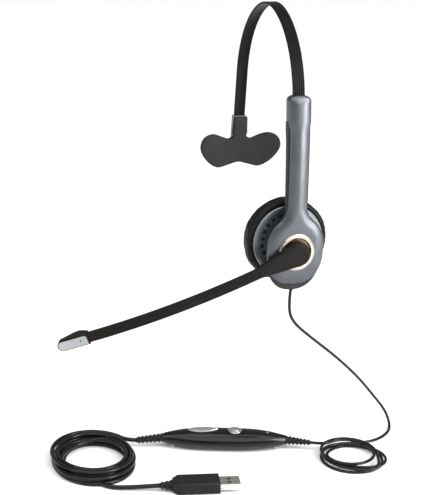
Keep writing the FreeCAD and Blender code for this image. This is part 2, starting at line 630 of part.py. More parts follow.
def make_control():
    outside = control_body(0)
    inside = control_body(-CONTROL_WALL)
    raised = control_body(0.7)
    wall = outside.cut(inside)
    rocker_hole = slab(lens(ROCKER_LENGTH + 1.2, ROCKER_WIDTH + 0.8), Z_AXIS, 9, 20)
    rocker_hole.translate(V(ROCKER_T, 0, 0))
    button_hole = rod(V(BUTTON_T, 0, 9), Z_AXIS, BEZEL_RADIUS, 12)
    led_hole = rod(V(LED_SPOT[0], LED_SPOT[1], 6), Z_AXIS, 1.0, 12)
    top = wall.common(box(-60, 60, -20, 20, PARTING_HEIGHT, 30)).cut([rocker_hole, button_hole, led_hole])
    bottom = wall.common(box(-60, 60, -20, 20, -1, PARTING_HEIGHT))
    posts = []
    for side in (-1, 1):
        post = box(ROCKER_T - 1.6, ROCKER_T + 1.6, side * 5.4 - 0.8, side * 5.4 + 0.8, 9.8, 16)
        post = post.common(outside)
        posts.append(post.cut(rod(V(ROCKER_T, -9, ROCKER_PIN_HEIGHT), Y_AXIS, ROCKER_PIN_BORE, 18)))
    screws = []
    bosses = []
    for t in CONTROL_SCREWS:
        boss = rod(V(t, 0, 0.5), Z_AXIS, 2.2, PARTING_HEIGHT - 0.5).common(outside)
        bosses.append(boss)
        screws.append(rod(V(t, 0, 0.6), Z_AXIS, 1.6, 1.2).fuse(rod(V(t, 0, 0.6), Z_AXIS, 0.8, 7.4)))
    sockets = [rod(V(t, 0, PARTING_HEIGHT), Z_AXIS, 2.2, 9).common(outside) for t in CONTROL_SCREWS]
    screw_paths = [rod(V(t, 0, -1), Z_AXIS, 1.6, 2.8) for t in CONTROL_SCREWS]
    bottom = bottom.fuse(bosses).cut(screws + screw_paths).removeSplitter()
    top = top.fuse(posts + sockets).cut(screws).removeSplitter()
    PIECES["control_top_shell"] = on_control(top)
    PIECES["control_bottom_shell"] = on_control(bottom)
    PIECES["control_screws"] = on_control(Part.makeCompound(screws))
    board = box(-28, 28, -6.0, 6.0, 4.2, 5.4)
    PIECES["control_board"] = on_control(board)
    switches = [box(t - 2, t + 2, -2, 2, 5.4, 8.0) for t in (ROCKER_T - 8.5, ROCKER_T + 8.5, BUTTON_T)]
    PIECES["tact_switches"] = on_control(Part.makeCompound(switches))
    make_control_keys(raised, led_hole)


def make_control_keys(raised, led_hole):
    rocker = slab(lens(ROCKER_LENGTH, ROCKER_WIDTH), Z_AXIS, 9.6, 20)
    rocker.translate(V(ROCKER_T, 0, 0))
    rocker = rocker.common(raised).cut(rod(V(ROCKER_T, -9, ROCKER_PIN_HEIGHT), Y_AXIS, ROCKER_PIN_BORE, 18))
    PIECES["volume_rocker"] = on_control(rocker)
    pin_end = V(ROCKER_T, -ROCKER_PIN_REACH, ROCKER_PIN_HEIGHT)
    pin = rod(pin_end, Y_AXIS, ROCKER_PIN_BORE - PIN_GAP, 2 * ROCKER_PIN_REACH)
    PIECES["rocker_pin"] = on_control(pin)
    bezel = ring(V(BUTTON_T, 0, 12.2), Z_AXIS, BEZEL_RADIUS - 0.02, BUTTON_RADIUS + 0.25, 8)
    PIECES["button_bezel"] = on_control(bezel.common(control_body(0.35)))
    button = rod(V(BUTTON_T, 0, 9.4), Z_AXIS, BUTTON_RADIUS, 10).common(control_body(1.1))
    PIECES["call_button"] = on_control(button)
    lens_body = led_hole.common(control_body(0.2)).cut(control_body(-CONTROL_WALL - 1))
    PIECES["led_lens"] = on_control(lens_body)


def ribbed_relief(length, wide, narrow, ribs):
    """Strain relief along +X: rings on a tapering core, with its narrow end at length."""
    profile = [(0, 0), (0, wide)]
    pitch = length / ribs
    for index in range(ribs):
        start = index * pitch
        ring_radius = wide + (narrow - wide) * index / (ribs - 1)
        core_radius = ring_radius - 0.7
        profile += [(start + 0.55 * pitch, ring_radius), (start + 0.6 * pitch, core_radius)]
        if index < ribs - 1:
            following = wide + (narrow - wide) * (index + 1) / (ribs - 1)
            profile += [(start + 0.95 * pitch, core_radius - 0.1), (start + pitch, following)]
    profile += [(length, profile[-1][1]), (length, 0)]
    wire = Part.makePolygon([V(x, 0, r) for x, r in profile + profile[:1]])
    return Part.Face(wire).revolve(V(0, 0, 0), X_AXIS, 360)


def aimed(shape, start, end):
    """Carry a piece built along +X so that it runs from start towards end."""
    turn = FreeCAD.Rotation(X_AXIS, end - start)
    copy = shape.copy()
    copy.Placement = FreeCAD.Placement(start, turn).multiply(copy.Placement)
    return copy


def make_reliefs():
    for name, t, tip in (("relief_headset_side", CONTROL_HALF, V(*HEADSET_LEAD[0])),
                         ("relief_usb_side", -CONTROL_HALF, V(*USB_LEAD[0]))):
        turn = math.radians(CONTROL_TURN)
        start = CONTROL_CENTRE + V(t * math.cos(turn), t * math.sin(turn), CONTROL_MID_HEIGHT)
        narrow = 2.1 if name == "relief_headset_side" else 2.6
        PIECES[name] = aimed(ribbed_relief((tip - start).Length, 3.4, narrow, 7), start, tip)


# ---- USB plug ----

def on_plug(shape):
    return moved(shape, PLUG_BACK, Z_AXIS, PLUG_TURN)


def make_plug():
    middle = PLUG_HEIGHT / 2
    width = PLUG_HALF_WIDTH
    top = outline("z", (0, 4 - width), (4, -width), (PLUG_LENGTH, -width), (PLUG_LENGTH, width), (4, width),
                  (0, width - 4))
    body = slab(top, Z_AXIS, 0, PLUG_HEIGHT)
    level_edges = [e for e in body.Edges if abs(e.CenterOfMass.z - middle) > 4]
    body = body.makeFillet(2.0, [e for e in level_edges if e.BoundBox.XMin < PLUG_LENGTH - 0.1])
    half = SHELL_WIDTH / 2
    low = middle - SHELL_HEIGHT / 2
    high = middle + SHELL_HEIGHT / 2
    outside = box(PLUG_LENGTH - 8, PLUG_LENGTH + SHELL_REACH, -half, half, low, high)
    sheet = SHELL_SHEET
    inside = box(PLUG_LENGTH - 9, PLUG_LENGTH + SHELL_REACH + 1, sheet - half, half - sheet, low + sheet,
                 high - sheet)
    windows = []
    for middle_y in (-2.4, 2.4):
        windows.append(box(PLUG_LENGTH + 5.5, PLUG_LENGTH + 8.0, middle_y - 1.1, middle_y + 1.1,
                           low - 1, high + 1))
    PIECES["usb_shell"] = on_plug(outside.cut([inside] + windows))
    tongue = box(PLUG_LENGTH - 8, PLUG_LENGTH + SHELL_REACH - 1.2, sheet - half, half - sheet, low + sheet,
                 low + sheet + 1.9)
    contacts = []
    for index, y in enumerate((-3.5, -1.0, 1.0, 3.5)):
        reach = PLUG_LENGTH + SHELL_REACH - (1.9 if index in (0, 3) else 2.9)
        contacts.append(box(PLUG_LENGTH - 8, reach, y - 0.5, y + 0.5, low + sheet + 1.7, low + sheet + 2.0))
    PIECES["usb_tongue"] = on_plug(tongue.cut(contacts))
    PIECES["usb_contacts"] = on_plug(Part.makeCompound(contacts))
    solid_end = box(PLUG_LENGTH - 8, PLUG_LENGTH, -half, half, low, high)
    PIECES["plug_overmould"] = on_plug(body.cut(solid_end))
    relief = ribbed_relief((V(*USB_TAIL[-1]) - PLUG_BACK - V(0, 0, middle)).Length, 3.6, 2.6, 3)
    PIECES["plug_relief"] = aimed(relief, PLUG_BACK + V(0, 0, middle), V(*USB_TAIL[-1]))


# ---- cords ----

def cord_tube(name, points, diameter):
    """Tube along straight runs joined by tangent arcs."""
    corners = [V(*p) for p in points]
    edges = []
    here = corners[0]
    radii = []
    for before, corner, after in zip(corners, corners[1:], corners[2:]):
        back = (before - corner).normalize()
        ahead = (after - corner).normalize()
        turn = math.pi - back.getAngle(ahead)
        cut = 0.45 * min((before - corner).Length, (after - corner).Length)
        radius = cut / math.tan(turn / 2)
        radii.append(radius)
        start = corner + back * cut
        end = corner + ahead * cut
        inwards = (back + ahead).normalize()
        middle = corner + inwards * (radius / math.cos(turn / 2) - radius)
        edges.append(Part.LineSegment(here, start).toShape())
        edges.append(Part.Arc(start, middle, end).toShape())
        here = end
    edges.append(Part.LineSegment(here, corners[-1]).toShape())
    path = Part.Wire(edges)
    circle = Part.Wire(Part.Circle(corners[0], corners[1] - corners[0], diameter / 2).toShape())
    tube = path.makePipeShell([circle], True, True)
    expected = math.pi * diameter ** 2 / 4 * path.Length
    bends = [round(r) for r in radii]
    print(f"{name}: length {path.Length:.1f}, smallest radius {min(radii):.1f} of {bends}")
    print(f"{name}: volume {tube.Volume / expected:.4f} of section times length")
    PIECES[name] = tube


def coil_ring(centre, outer_x, outer_y, inner_x, inner_y, height):
    def oval(half_x, half_y):
        curve = Part.Circle(centre, Z_AXIS, half_x)
        if half_x > half_y:
            curve = Part.Ellipse(centre, half_x, half_y)
        return Part.Wire(curve.toShape())
    solid = Part.Face(oval(outer_x, outer_y)).extrude(Z_AXIS * height)
    hole = Part.Face(oval(inner_x, inner_y)).extrude(Z_AXIS * height)
    solid = solid.cut(hole)
    edges = [e for e in solid.Edges if e.BoundBox.ZLength < 0.01]
    return solid.makeFillet(min(2.4, height * 0.35), edges)


def make_cords():
    cord_tube("headset_cord_drop", HEADSET_DROP, HEADSET_CORD)
    cord_tube("headset_cord_lead", HEADSET_LEAD, HEADSET_CORD)
    cord_tube("usb_cord_lead", USB_LEAD, USB_CORD)
    cord_tube("usb_cord_tail", USB_TAIL, USB_CORD)
    PIECES["headset_cord_coil"] = coil_ring(*COIL_HEADSET)
    PIECES["usb_cord_coil"] = coil_ring(*COIL_USB)


def main():
    os.makedirs("parts", exist_ok=True)
    for step in (make_headband, make_tbar, make_arm, make_arm_inside, make_boom, make_knuckle, make_ear_cup,
                 make_control, make_reliefs, make_plug, make_cords):
        step()
    for name, shape in PIECES.items():
        shape.exportStep(os.path.join("parts", name + ".step"))
        solids = len(shape.Solids)
        print(f"{name}: {solids} solid(s), {shape.Volume:.1f} mm3, valid {shape.isValid()}")
    print(len(PIECES), "pieces")


main()
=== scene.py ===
import json
import math

import bmesh
import bpy
import numpy as np
from mathutils import Matrix, Vector, noise
from mathutils.geometry import delaunay_2d_cdt


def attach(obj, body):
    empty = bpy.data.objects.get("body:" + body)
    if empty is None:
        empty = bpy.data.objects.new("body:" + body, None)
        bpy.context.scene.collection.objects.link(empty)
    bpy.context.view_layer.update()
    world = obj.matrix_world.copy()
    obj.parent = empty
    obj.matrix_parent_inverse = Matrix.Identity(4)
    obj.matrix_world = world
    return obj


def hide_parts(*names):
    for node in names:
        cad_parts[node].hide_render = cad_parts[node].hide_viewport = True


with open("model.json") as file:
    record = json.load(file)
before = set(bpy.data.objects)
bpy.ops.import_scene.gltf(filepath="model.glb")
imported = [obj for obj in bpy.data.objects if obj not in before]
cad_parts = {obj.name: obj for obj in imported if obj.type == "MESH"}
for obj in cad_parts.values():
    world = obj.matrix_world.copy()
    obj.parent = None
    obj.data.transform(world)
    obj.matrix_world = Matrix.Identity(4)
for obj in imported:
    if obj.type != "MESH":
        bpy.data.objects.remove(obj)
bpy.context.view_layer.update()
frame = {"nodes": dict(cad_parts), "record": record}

MM = 0.001
FLOOR_Z = -0.326


# ---- camera, light and floor ----

CAMERA_PLACE = (0.7923, -0.3015, 0.0837)
CAMERA_AZIMUTH = 71.4        # degrees round the object
CAMERA_TILT = 17.18          # degrees below the horizon
CAMERA_ROLL = 1.59
CAMERA_LENS = 87.3


def make_camera():
    azimuth = math.radians(CAMERA_AZIMUTH)
    tilt = math.radians(CAMERA_TILT)
    roll = math.radians(CAMERA_ROLL)
    ahead = Vector((-math.sin(azimuth) * math.cos(tilt), math.cos(azimuth) * math.cos(tilt), -math.sin(tilt)))
    level = Vector((math.cos(azimuth), math.sin(azimuth), 0))
    upward = level.cross(ahead)
    right = level * math.cos(roll) + upward * math.sin(roll)
    up = upward * math.cos(roll) - level * math.sin(roll)
    data = bpy.data.cameras.new("camera")
    data.lens = CAMERA_LENS
    data.sensor_width = 36
    camera = bpy.data.objects.new("camera", data)
    bpy.context.scene.collection.objects.link(camera)
    turn = Matrix((right, up, -ahead)).transposed().to_4x4()
    camera.matrix_world = Matrix.Translation(CAMERA_PLACE) @ turn
    bpy.context.scene.camera = camera


def add_light(name, kind, place, target, power, **settings):
    data = bpy.data.lights.new(name, kind)
    data.energy = power
    for key, value in settings.items():
        setattr(data, key, value)
    light = bpy.data.objects.new(name, data)
    bpy.context.scene.collection.objects.link(light)
    light.location = place
    light.rotation_euler = (Vector(target) - Vector(place)).to_track_quat("-Z", "Y").to_euler()


def make_studio():
    world = bpy.data.worlds.new("studio")
    bpy.context.scene.world = world
    world.use_nodes = True
    tree = world.node_tree
    soft = tree.nodes["Background"]
    soft.inputs["Color"].default_value = (1, 1, 1, 1)
    soft.inputs["Strength"].default_value = 0.34
    seen = tree.nodes.new("ShaderNodeBackground")
    seen.inputs["Color"].default_value = (1, 1, 1, 1)
    either = tree.nodes.new("ShaderNodeMixShader")
    tree.links.new(tree.nodes.new("ShaderNodeLightPath").outputs["Is Camera Ray"], either.inputs["Fac"])
    tree.links.new(soft.outputs["Background"], either.inputs[1])
    tree.links.new(seen.outputs["Background"], either.inputs[2])
    tree.links.new(either.outputs["Shader"], tree.nodes["World Output"].inputs["Surface"])
    middle = (0.02, 0, -0.16)
    add_light("overhead", "SUN", (0.5, -0.1, 1.0), middle, 2.75, angle=math.radians(75))
    add_light("right_panel", "AREA", (0.75, 0.62, 0.15), middle, 17, shape="RECTANGLE", size=0.45, size_y=0.9)
    add_light("left_panel", "AREA", (0.25, -0.95, 0.2), middle, 2.5, shape="RECTANGLE", size=0.25, size_y=0.9)
    bpy.context.scene.view_settings.view_transform = "Standard"
    bpy.ops.mesh.primitive_plane_add(size=80, location=(0, 0, FLOOR_Z))
    floor = bpy.context.object
    floor.name = "floor"
    floor.data.materials.append(plain_floor())


def plain_floor():
    material, shader, _ = new_material("floor_white")
    shader.inputs["Base Color"].default_value = (0.9, 0.9, 0.9, 1)
    shader.inputs["Roughness"].default_value = 0.7
    shader.inputs["Specular IOR Level"].default_value = 0.1
    return material


# ---- materials ----

class Graph:
    """A material's nodes, with short calls for the few kinds this scene uses."""

    def __init__(self, tree):
        self.tree = tree
        self.place = tree.nodes.new("ShaderNodeTexCoord").outputs["Object"]

    def node(self, kind, settings=(), inputs=()):
        made = self.tree.nodes.new(kind)
        for key, value in dict(settings).items():
            setattr(made, key, value)
        for key, value in dict(inputs).items():
            if isinstance(value, bpy.types.NodeSocket):
                self.tree.links.new(value, made.inputs[key])
            else:
                made.inputs[key].default_value = value
        return made

    def noise(self, scale, detail=3.0, roughness=0.55, place=None):
        inputs = {"Vector": place or self.place, "Scale": scale, "Detail": detail, "Roughness": roughness}
        return self.node("ShaderNodeTexNoise", inputs=inputs).outputs["Fac"]

    def cells(self, scale, feature="F1", place=None):
        inputs = {"Vector": place or self.place, "Scale": scale}
        return self.node("ShaderNodeTexVoronoi", {"feature": feature}, inputs).outputs["Distance"]

    def stretched(self, factors):
        inputs = {0: self.place, 1: factors}
        return self.node("ShaderNodeVectorMath", {"operation": "MULTIPLY"}, inputs).outputs[0]

    def remap(self, value, low, high, to_low, to_high):
        inputs = {"Value": value, "From Min": low, "From Max": high, "To Min": to_low, "To Max": to_high}
        return self.node("ShaderNodeMapRange", inputs=inputs).outputs["Result"]

    def blend(self, share, first, second):
        made = self.node("ShaderNodeMix", {"data_type": "RGBA"})
        self.tree.links.new(share, made.inputs["Factor"])
        for socket, value in ((made.inputs[6], first), (made.inputs[7], second)):
            if isinstance(value, bpy.types.NodeSocket):
                self.tree.links.new(value, socket)
            else:
                socket.default_value = value
        return made.outputs[2]

    def bump(self, height, distance, strength=1.0, normal=None):
        inputs = {"Height": height, "Distance": distance, "Strength": strength}
        if normal:
            inputs["Normal"] = normal
        return self.node("ShaderNodeBump", inputs=inputs).outputs["Normal"]

    def edges(self, low=0.52, high=0.6):
        """1 on convex edges, 0 elsewhere. moulded and flake_paint lighten them where handling has rubbed the finish;
        soft_rubber darkens them as painted rim shade.
        """
        pointed = self.node("ShaderNodeNewGeometry").outputs["Pointiness"]
        return self.remap(pointed, low, high, 0.0, 1.0)


def new_material(name):
    material = bpy.data.materials.new(name)
    material.use_nodes = True
    return material, material.node_tree.nodes["Principled BSDF"], Graph(material.node_tree)


def rgb(red, green, blue):
    return (red, green, blue, 1)


def shade(colour, factor):
    return rgb(*[min(1.0, part * factor) for part in colour[:3]])


def moulded(name, colour, rough, grain=0.25, depth=0.006, coat=0.0, tone=1.35, worn=1.25, gloss=0.14):
    """Moulded or painted surface: fine grain of that size and depth in mm, drifting tone, rubbed edges."""
    material, shader, graph = new_material(name)
    links = material.node_tree.links
    fine = graph.noise(1 / (grain * MM), 4.0)
    drift = graph.noise(70, 3.0)
    body = graph.blend(graph.remap(drift, 0.35, 0.65, 0, 1), shade(colour, 1 / tone ** 0.5), shade(colour, tone ** 0.5))
    rubbed = graph.blend(graph.edges(), body, shade(colour, worn * tone ** 0.5))
    links.new(rubbed, shader.inputs["Base Color"])
    links.new(graph.remap(fine, 0.3, 0.7, rough - 0.06, rough + 0.08), shader.inputs["Roughness"])
    links.new(graph.bump(fine, depth * MM), shader.inputs["Normal"])
    shader.inputs["Specular IOR Level"].default_value = gloss
    shader.inputs["Coat Weight"].default_value = coat
    shader.inputs["Coat Roughness"].default_value = 0.12
    return material


def flake_paint(name, colour, rough=0.36):
    """Metallic paint: bright and dark flakes under a thin clear coat."""
    material, shader, graph = new_material(name)
    links = material.node_tree.links
    flakes = graph.noise(5200, 2.0, 0.7)
    drift = graph.noise(45, 2.0)
    body = graph.blend(graph.remap(drift, 0.35, 0.65, 0, 1), shade(colour, 0.93), shade(colour, 1.07))
    sparkle = graph.blend(graph.remap(flakes, 0.56, 0.72, 0, 0.8), body, shade(colour, 2.1))
    dark = graph.blend(graph.remap(flakes, 0.44, 0.3, 0, 0.5), sparkle, shade(colour, 0.55))
    links.new(graph.blend(graph.edges(0.54, 0.64), dark, shade(colour, 1.5)), shader.inputs["Base Color"])
    links.new(graph.remap(flakes, 0.3, 0.7, rough + 0.05, rough - 0.06), shader.inputs["Roughness"])
    links.new(graph.bump(flakes, 0.004 * MM), shader.inputs["Normal"])
    shader.inputs["Metallic"].default_value = 0.85
    shader.inputs["Coat Weight"].default_value = 0.12
    shader.inputs["Coat Roughness"].default_value = 0.2
    return material


def metal(name, colour, rough, brushed=(1, 1, 1), depth=0.002):
    """Bare or plated metal with fine drawn lines along one axis and faint stains."""
    material, shader, graph = new_material(name)
    links = material.node_tree.links
    lines = graph.noise(2600, 2.0, 0.5, graph.stretched(brushed))
    stains = graph.noise(160, 4.0)
    tone = graph.blend(graph.remap(stains, 0.4, 0.7, 0, 1), colour, shade(colour, 0.8))
    links.new(tone, shader.inputs["Base Color"])
    links.new(graph.remap(lines, 0.3, 0.7, rough * 0.8, rough * 1.3), shader.inputs["Roughness"])
    links.new(graph.bump(lines, depth * MM), shader.inputs["Normal"])
    shader.inputs["Metallic"].default_value = 1.0
    return material


def soft_rubber(name, colour, rough=0.62):
    """Matt rubber: pebbled skin, dusty patches and a faint sheen."""
    material, shader, graph = new_material(name)
    links = material.node_tree.links
    pebbles = graph.cells(3600)
    dust = graph.noise(120, 4.0)
    fibres = graph.noise(900, 3.0)
    body = graph.blend(graph.remap(dust, 0.35, 0.7, 0, 1), shade(colour, 0.88), shade(colour, 1.14))
    # Painted shade: the rounded rims darkened to 0.8 of the rubber's colour.
    links.new(graph.blend(graph.edges(), body, shade(colour, 0.8)), shader.inputs["Base Color"])
    links.new(graph.remap(fibres, 0.3, 0.7, rough - 0.07, rough + 0.07), shader.inputs["Roughness"])
    skin = graph.bump(pebbles, 0.012 * MM)
    links.new(graph.bump(dust, 0.05 * MM, 0.5, skin), shader.inputs["Normal"])
    shader.inputs["Sheen Weight"].default_value = 0.04
    shader.inputs["Sheen Roughness"].default_value = 0.5
    shader.inputs["Specular IOR Level"].default_value = 0.15
    return material


def leatherette(name, colour):
    """Thin leatherette over a soft ground: grain with painted shade in its creases, folds with painted light and shade,
    glossier on its high spots.
    """
    material, shader, graph = new_material(name)
    links = material.node_tree.links
    grain = graph.cells(1500, "DISTANCE_TO_EDGE")
    pores = graph.noise(4200, 3.0)
    folds = graph.noise(230, 4.0, 0.6)
    # Painted light and shade: the tone follows the fold bumps, lighter on their crests and darker in their hollows.
    body = graph.blend(graph.remap(folds, 0.35, 0.65, 0, 1), shade(colour, 0.8), shade(colour, 1.3))
    # Painted shade in the grain's creases, darker where the grain bump is low.
    crease_shaded = graph.blend(graph.remap(grain, 0.0, 0.12, 0, 1), shade(colour, 0.55), body)
    links.new(crease_shaded, shader.inputs["Base Color"])
    links.new(graph.remap(grain, 0.0, 0.35, 0.5, 0.3), shader.inputs["Roughness"])
    skin = graph.bump(graph.remap(grain, 0.0, 0.16, 0, 1), 0.03 * MM)
    skin = graph.bump(pores, 0.006 * MM, 1.0, skin)
    links.new(graph.bump(folds, 0.25 * MM, 0.6, skin), shader.inputs["Normal"])
    shader.inputs["Specular IOR Level"].default_value = 0.12
    shader.inputs["Coat Weight"].default_value = 0.03
    shader.inputs["Coat Roughness"].default_value = 0.25
    return material


def open_foam(name, colour):
    """Open-cell foam or felt."""
    material, shader, graph = new_material(name)
    links = material.node_tree.links
    pits = graph.cells(2400)
    # Painted shade: darker towards the bottom of each pit, where the bump is low.
    links.new(graph.blend(graph.remap(pits, 0.0, 0.6, 0, 1), shade(colour, 0.45), shade(colour, 1.35)),
              shader.inputs["Base Color"])
    links.new(graph.bump(pits, 0.12 * MM), shader.inputs["Normal"])
    shader.inputs["Roughness"].default_value = 0.95
    shader.inputs["Sheen Weight"].default_value = 0.2
    return material


def woven_mesh(name, colour):
    material, shader, graph = new_material(name)
    links = material.node_tree.links
    threads = {"Vector": graph.place, "Scale": 420.0, "Distortion": 0.0}
    across = graph.node("ShaderNodeTexWave", {"bands_direction": "Y"}, threads).outputs["Fac"]
    along = graph.node("ShaderNodeTexWave", {"bands_direction": "Z"}, threads).outputs["Fac"]
    weave = graph.node("ShaderNodeMath", {"operation": "MAXIMUM"}, {0: across, 1: along}).outputs[0]
    # Painted shade between the threads and painted highlight on their raised tops; the tone follows the bump.
    links.new(graph.blend(weave, shade(colour, 0.3), shade(colour, 1.4)), shader.inputs["Base Color"])
    links.new(graph.bump(weave, 0.08 * MM), shader.inputs["Normal"])
    shader.inputs["Roughness"].default_value = 0.6
    return material


def circuit_board(name, colour):
    material, shader, graph = new_material(name)
    links = material.node_tree.links
    tracks = graph.node("ShaderNodeTexBrick", inputs={"Vector": graph.place, "Scale": 420.0, "Mortar Size": 0.03})
    glass = graph.noise(3000, 2.0)
    body = graph.blend(graph.remap(glass, 0.3, 0.7, 0, 1), shade(colour, 0.8), shade(colour, 1.2))
    links.new(graph.blend(tracks.outputs["Fac"], body, rgb(0.5, 0.42, 0.16)), shader.inputs["Base Color"])
    links.new(graph.bump(tracks.outputs["Fac"], 0.03 * MM), shader.inputs["Normal"])
    shader.inputs["Roughness"].default_value = 0.4
    return material


def clear_lens(name, colour):
    material, shader, graph = new_material(name)
    links = material.node_tree.links
    haze = graph.noise(900, 2.0)
    links.new(graph.blend(haze, shade(colour, 0.85), shade(colour, 1.15)), shader.inputs["Base Color"])
    links.new(graph.remap(haze, 0.3, 0.7, 0.08, 0.2), shader.inputs["Roughness"])
    shader.inputs["Transmission Weight"].default_value = 0.5
    return material


def make_materials():
    """One material for each of the record's material slots."""
    return {
        "silver_paint": flake_paint("silver_paint", rgb(0.082, 0.088, 0.097)),
        "dark_shell": moulded("dark_shell", rgb(0.022, 0.023, 0.024), 0.42, 0.3, 0.010),
        "black_band": moulded("black_band", rgb(0.005, 0.005, 0.0055), 0.34, 0.35, 0.008, gloss=0.06),
        "spring_steel": metal("spring_steel", rgb(0.55, 0.55, 0.56), 0.28, (1, 0.05, 1)),
        "tbar_rubber": soft_rubber("tbar_rubber", rgb(0.013, 0.0133, 0.0137)),
        "tbar_backing": moulded("tbar_backing", rgb(0.17, 0.175, 0.18), 0.45, 0.3, 0.008),
        "bright_ring": metal("bright_ring", rgb(0.46, 0.42, 0.345), 0.28, (0.05, 1, 1)),
        # Deep bronze metal, darker than bare bronze: partly painted shade for the shadowed gap between the ring and the
        # hub.
        "bushing_bronze": metal("bushing_bronze", rgb(0.15, 0.105, 0.065), 0.32),
        "boom_black": moulded("boom_black", rgb(0.008, 0.0072, 0.0065), 0.40, 0.22, 0.008, gloss=0.09),
        "natural_plastic": moulded("natural_plastic", rgb(0.62, 0.60, 0.55), 0.42),
        "mic_silver": flake_paint("mic_silver", rgb(0.34, 0.355, 0.37), 0.34),
        "capsule_metal": metal("capsule_metal", rgb(0.62, 0.62, 0.63), 0.25),
        "seal_foam": open_foam("seal_foam", rgb(0.035, 0.035, 0.037)),
        "plate_silver": flake_paint("plate_silver", rgb(0.175, 0.190, 0.205), 0.40),
        "mesh_black": woven_mesh("mesh_black", rgb(0.012, 0.012, 0.013)),
        "speaker_plastic": moulded("speaker_plastic", rgb(0.025, 0.025, 0.027), 0.5),
        "magnet": metal("magnet", rgb(0.42, 0.42, 0.43), 0.3),
        "diaphragm": clear_lens("diaphragm", rgb(0.55, 0.53, 0.48)),
        "leatherette": leatherette("leatherette", rgb(0.006, 0.0057, 0.0054)),
        "gloss_black": moulded("gloss_black", rgb(0.004, 0.004, 0.0045), 0.17, 0.6, 0.003, 0.3),
        "base_grey": moulded("base_grey", rgb(0.030, 0.031, 0.033), 0.38, 0.3, 0.010),
        "key_silver": flake_paint("key_silver", rgb(0.50, 0.50, 0.50), 0.26),
        "circuit_board": circuit_board("circuit_board", rgb(0.01, 0.09, 0.035)),
        "indicator": clear_lens("indicator", rgb(0.25, 0.35, 0.28)),
        "relief_rubber": soft_rubber("relief_rubber", rgb(0.008, 0.008, 0.0085), 0.45),
        "cord_pvc": moulded("cord_pvc", rgb(0.006, 0.006, 0.0065), 0.30, 0.5, 0.006, 0.15),
        "plug_black": moulded("plug_black", rgb(0.010, 0.010, 0.0105), 0.42, 0.3, 0.012),
        "nickel": metal("nickel", rgb(0.70, 0.68, 0.64), 0.22, (1, 1, 0.1)),
        "tongue_black": moulded("tongue_black", rgb(0.02, 0.02, 0.02), 0.5),
        "contact_gold": metal("contact_gold", rgb(0.85, 0.62, 0.28), 0.2),
    }


def paint_cad_nodes(materials):
    for part in frame["record"]["subparts"]:
        data = frame["nodes"][part["node"]].data
        data.materials.clear()
        data.materials.append(materials[part["material_slot"]])


SOFTENED_EDGES = {"ear_plate": 0.2, "control_top_shell": 0.15, "control_bottom_shell": 0.2,
                  "volume_rocker": 0.4, "call_button": 0.3, "button_bezel": 0.2, "mic_housing": 0.3,
                  "mic_plate": 0.2, "plug_overmould": 0.3, "usb_shell": 0.12, "tbar_frame": 0.25,
                  "relief_headset_side": 0.15, "relief_usb_side": 0.15, "plug_relief": 0.15, "boom_bushing": 0.15,
                  "cord_grommet": 0.3, "rear_mesh": 0.05}


def soften_cad_edges():
    """Small radii on the sharp edges of the CAD pieces that show."""
    for name, width in SOFTENED_EDGES.items():
        node = frame["nodes"][name]
        weld = node.modifiers.new("weld", "WELD")
        weld.merge_threshold = 0.003 * MM
        bevel = node.modifiers.new("edge_radius", "BEVEL")
        bevel.width = width * MM
        bevel.segments = 3
        bevel.limit_method = "ANGLE"
        bevel.angle_limit = math.radians(35)
        bevel.harden_normals = True


# ---- cords ----

HEADSET_CORD = 2.2 * MM
USB_CORD = 3.2 * MM

HEADSET_DROP = [(58.8, 0, -189.8), (60.0, -1.6, -201.5), (58.6, 2, -214), (50.5, 20.5, -230.8),
                (39.5, 46, -252.5), (29, 70.5, -276), (20.5, 89.5, -298), (13.5, 104, -315),
                (21, 105.3, -324.9), (33, 97, -324.9), (41.5, 83, -324.9), (42.3, 67.5, -324.9)]
HEADSET_LEAD = [(46.2, 43.5, -320.4), (43.8, 36.5, -320.4), (41.3, 29.5, -320.0)]
USB_LEAD = [(3.2, -95.9, -320.0), (1.8, -103.6, -319.4), (1.6, -111.2, -318.2)]
USB_TAIL = [(53.5, -142, -324.4), (60.5, -131, -324.4), (66.5, -114.5, -323.6), (72.6, -97.0, -321.5)]

POINTS_PER_TURN = 16


class Layer:
    """One layer of a coil: it winds between two sizes of an oval, and lies on the layer below."""

    def __init__(self, middle, half_x, half_y, lean, start_share, end_share, level):
        self.middle = middle
        self.half_x = half_x
        self.half_y = half_y
        self.lean = math.radians(lean)
        self.start_share = start_share
        self.end_share = end_share
        self.level = level

    def point(self, angle, progress):
        share = self.start_share + (self.end_share - self.start_share) * progress
        across = share * self.half_x * math.cos(angle - self.lean)
        along = share * self.half_y * math.sin(angle - self.lean)
        x = self.middle[0] + across * math.cos(self.lean) - along * math.sin(self.lean)
        y = self.middle[1] + across * math.sin(self.lean) + along * math.cos(self.lean)
        return Vector((x, y, self.level))


def coil_points(layers, start_angle, end_angle, turns_each, climb):
    """Turns of a coil, counter-clockwise. climb is the angle over which one layer passes to the next."""
    total = end_angle - start_angle
    count = round(total / (2 * math.pi) * POINTS_PER_TURN)
    points = []
    for index in range(count + 1):
        turned = total * index / count
        place = turned / (2 * math.pi * turns_each)
        layer = min(int(place), len(layers) - 1)
        angle = start_angle + turned
        here = layers[layer].point(angle, place - layer)
        to_next = (layer + 1 - place) * turns_each * 2 * math.pi
        if layer + 1 < len(layers) and to_next < climb:
            following = layers[layer + 1].point(angle, 0)
            share = 1 - to_next / climb
            share = share * share * (3 - 2 * share)
            here = here.lerp(following, share)
        points.append(tuple(here))
    return points


def headset_coil():
    low = FLOOR_Z / MM + 1.1
    step = 2.25
    layers = [Layer((64.0, 54.0), 25.0, 25.5, 20, 1.0, 0.76, low),
              Layer((65.5, 55.0), 22.0, 28.0, -40, 0.76, 1.0, low + step),
              Layer((61.0, 51.0), 22.5, 21.5, 0, 0.98, 0.86, low + 2 * step)]
    start = math.radians(150)
    end = math.radians(209) + 4 * 2 * math.pi
    return coil_points(layers, start, end, (end - start) / (2 * math.pi) / 3, 1.4)


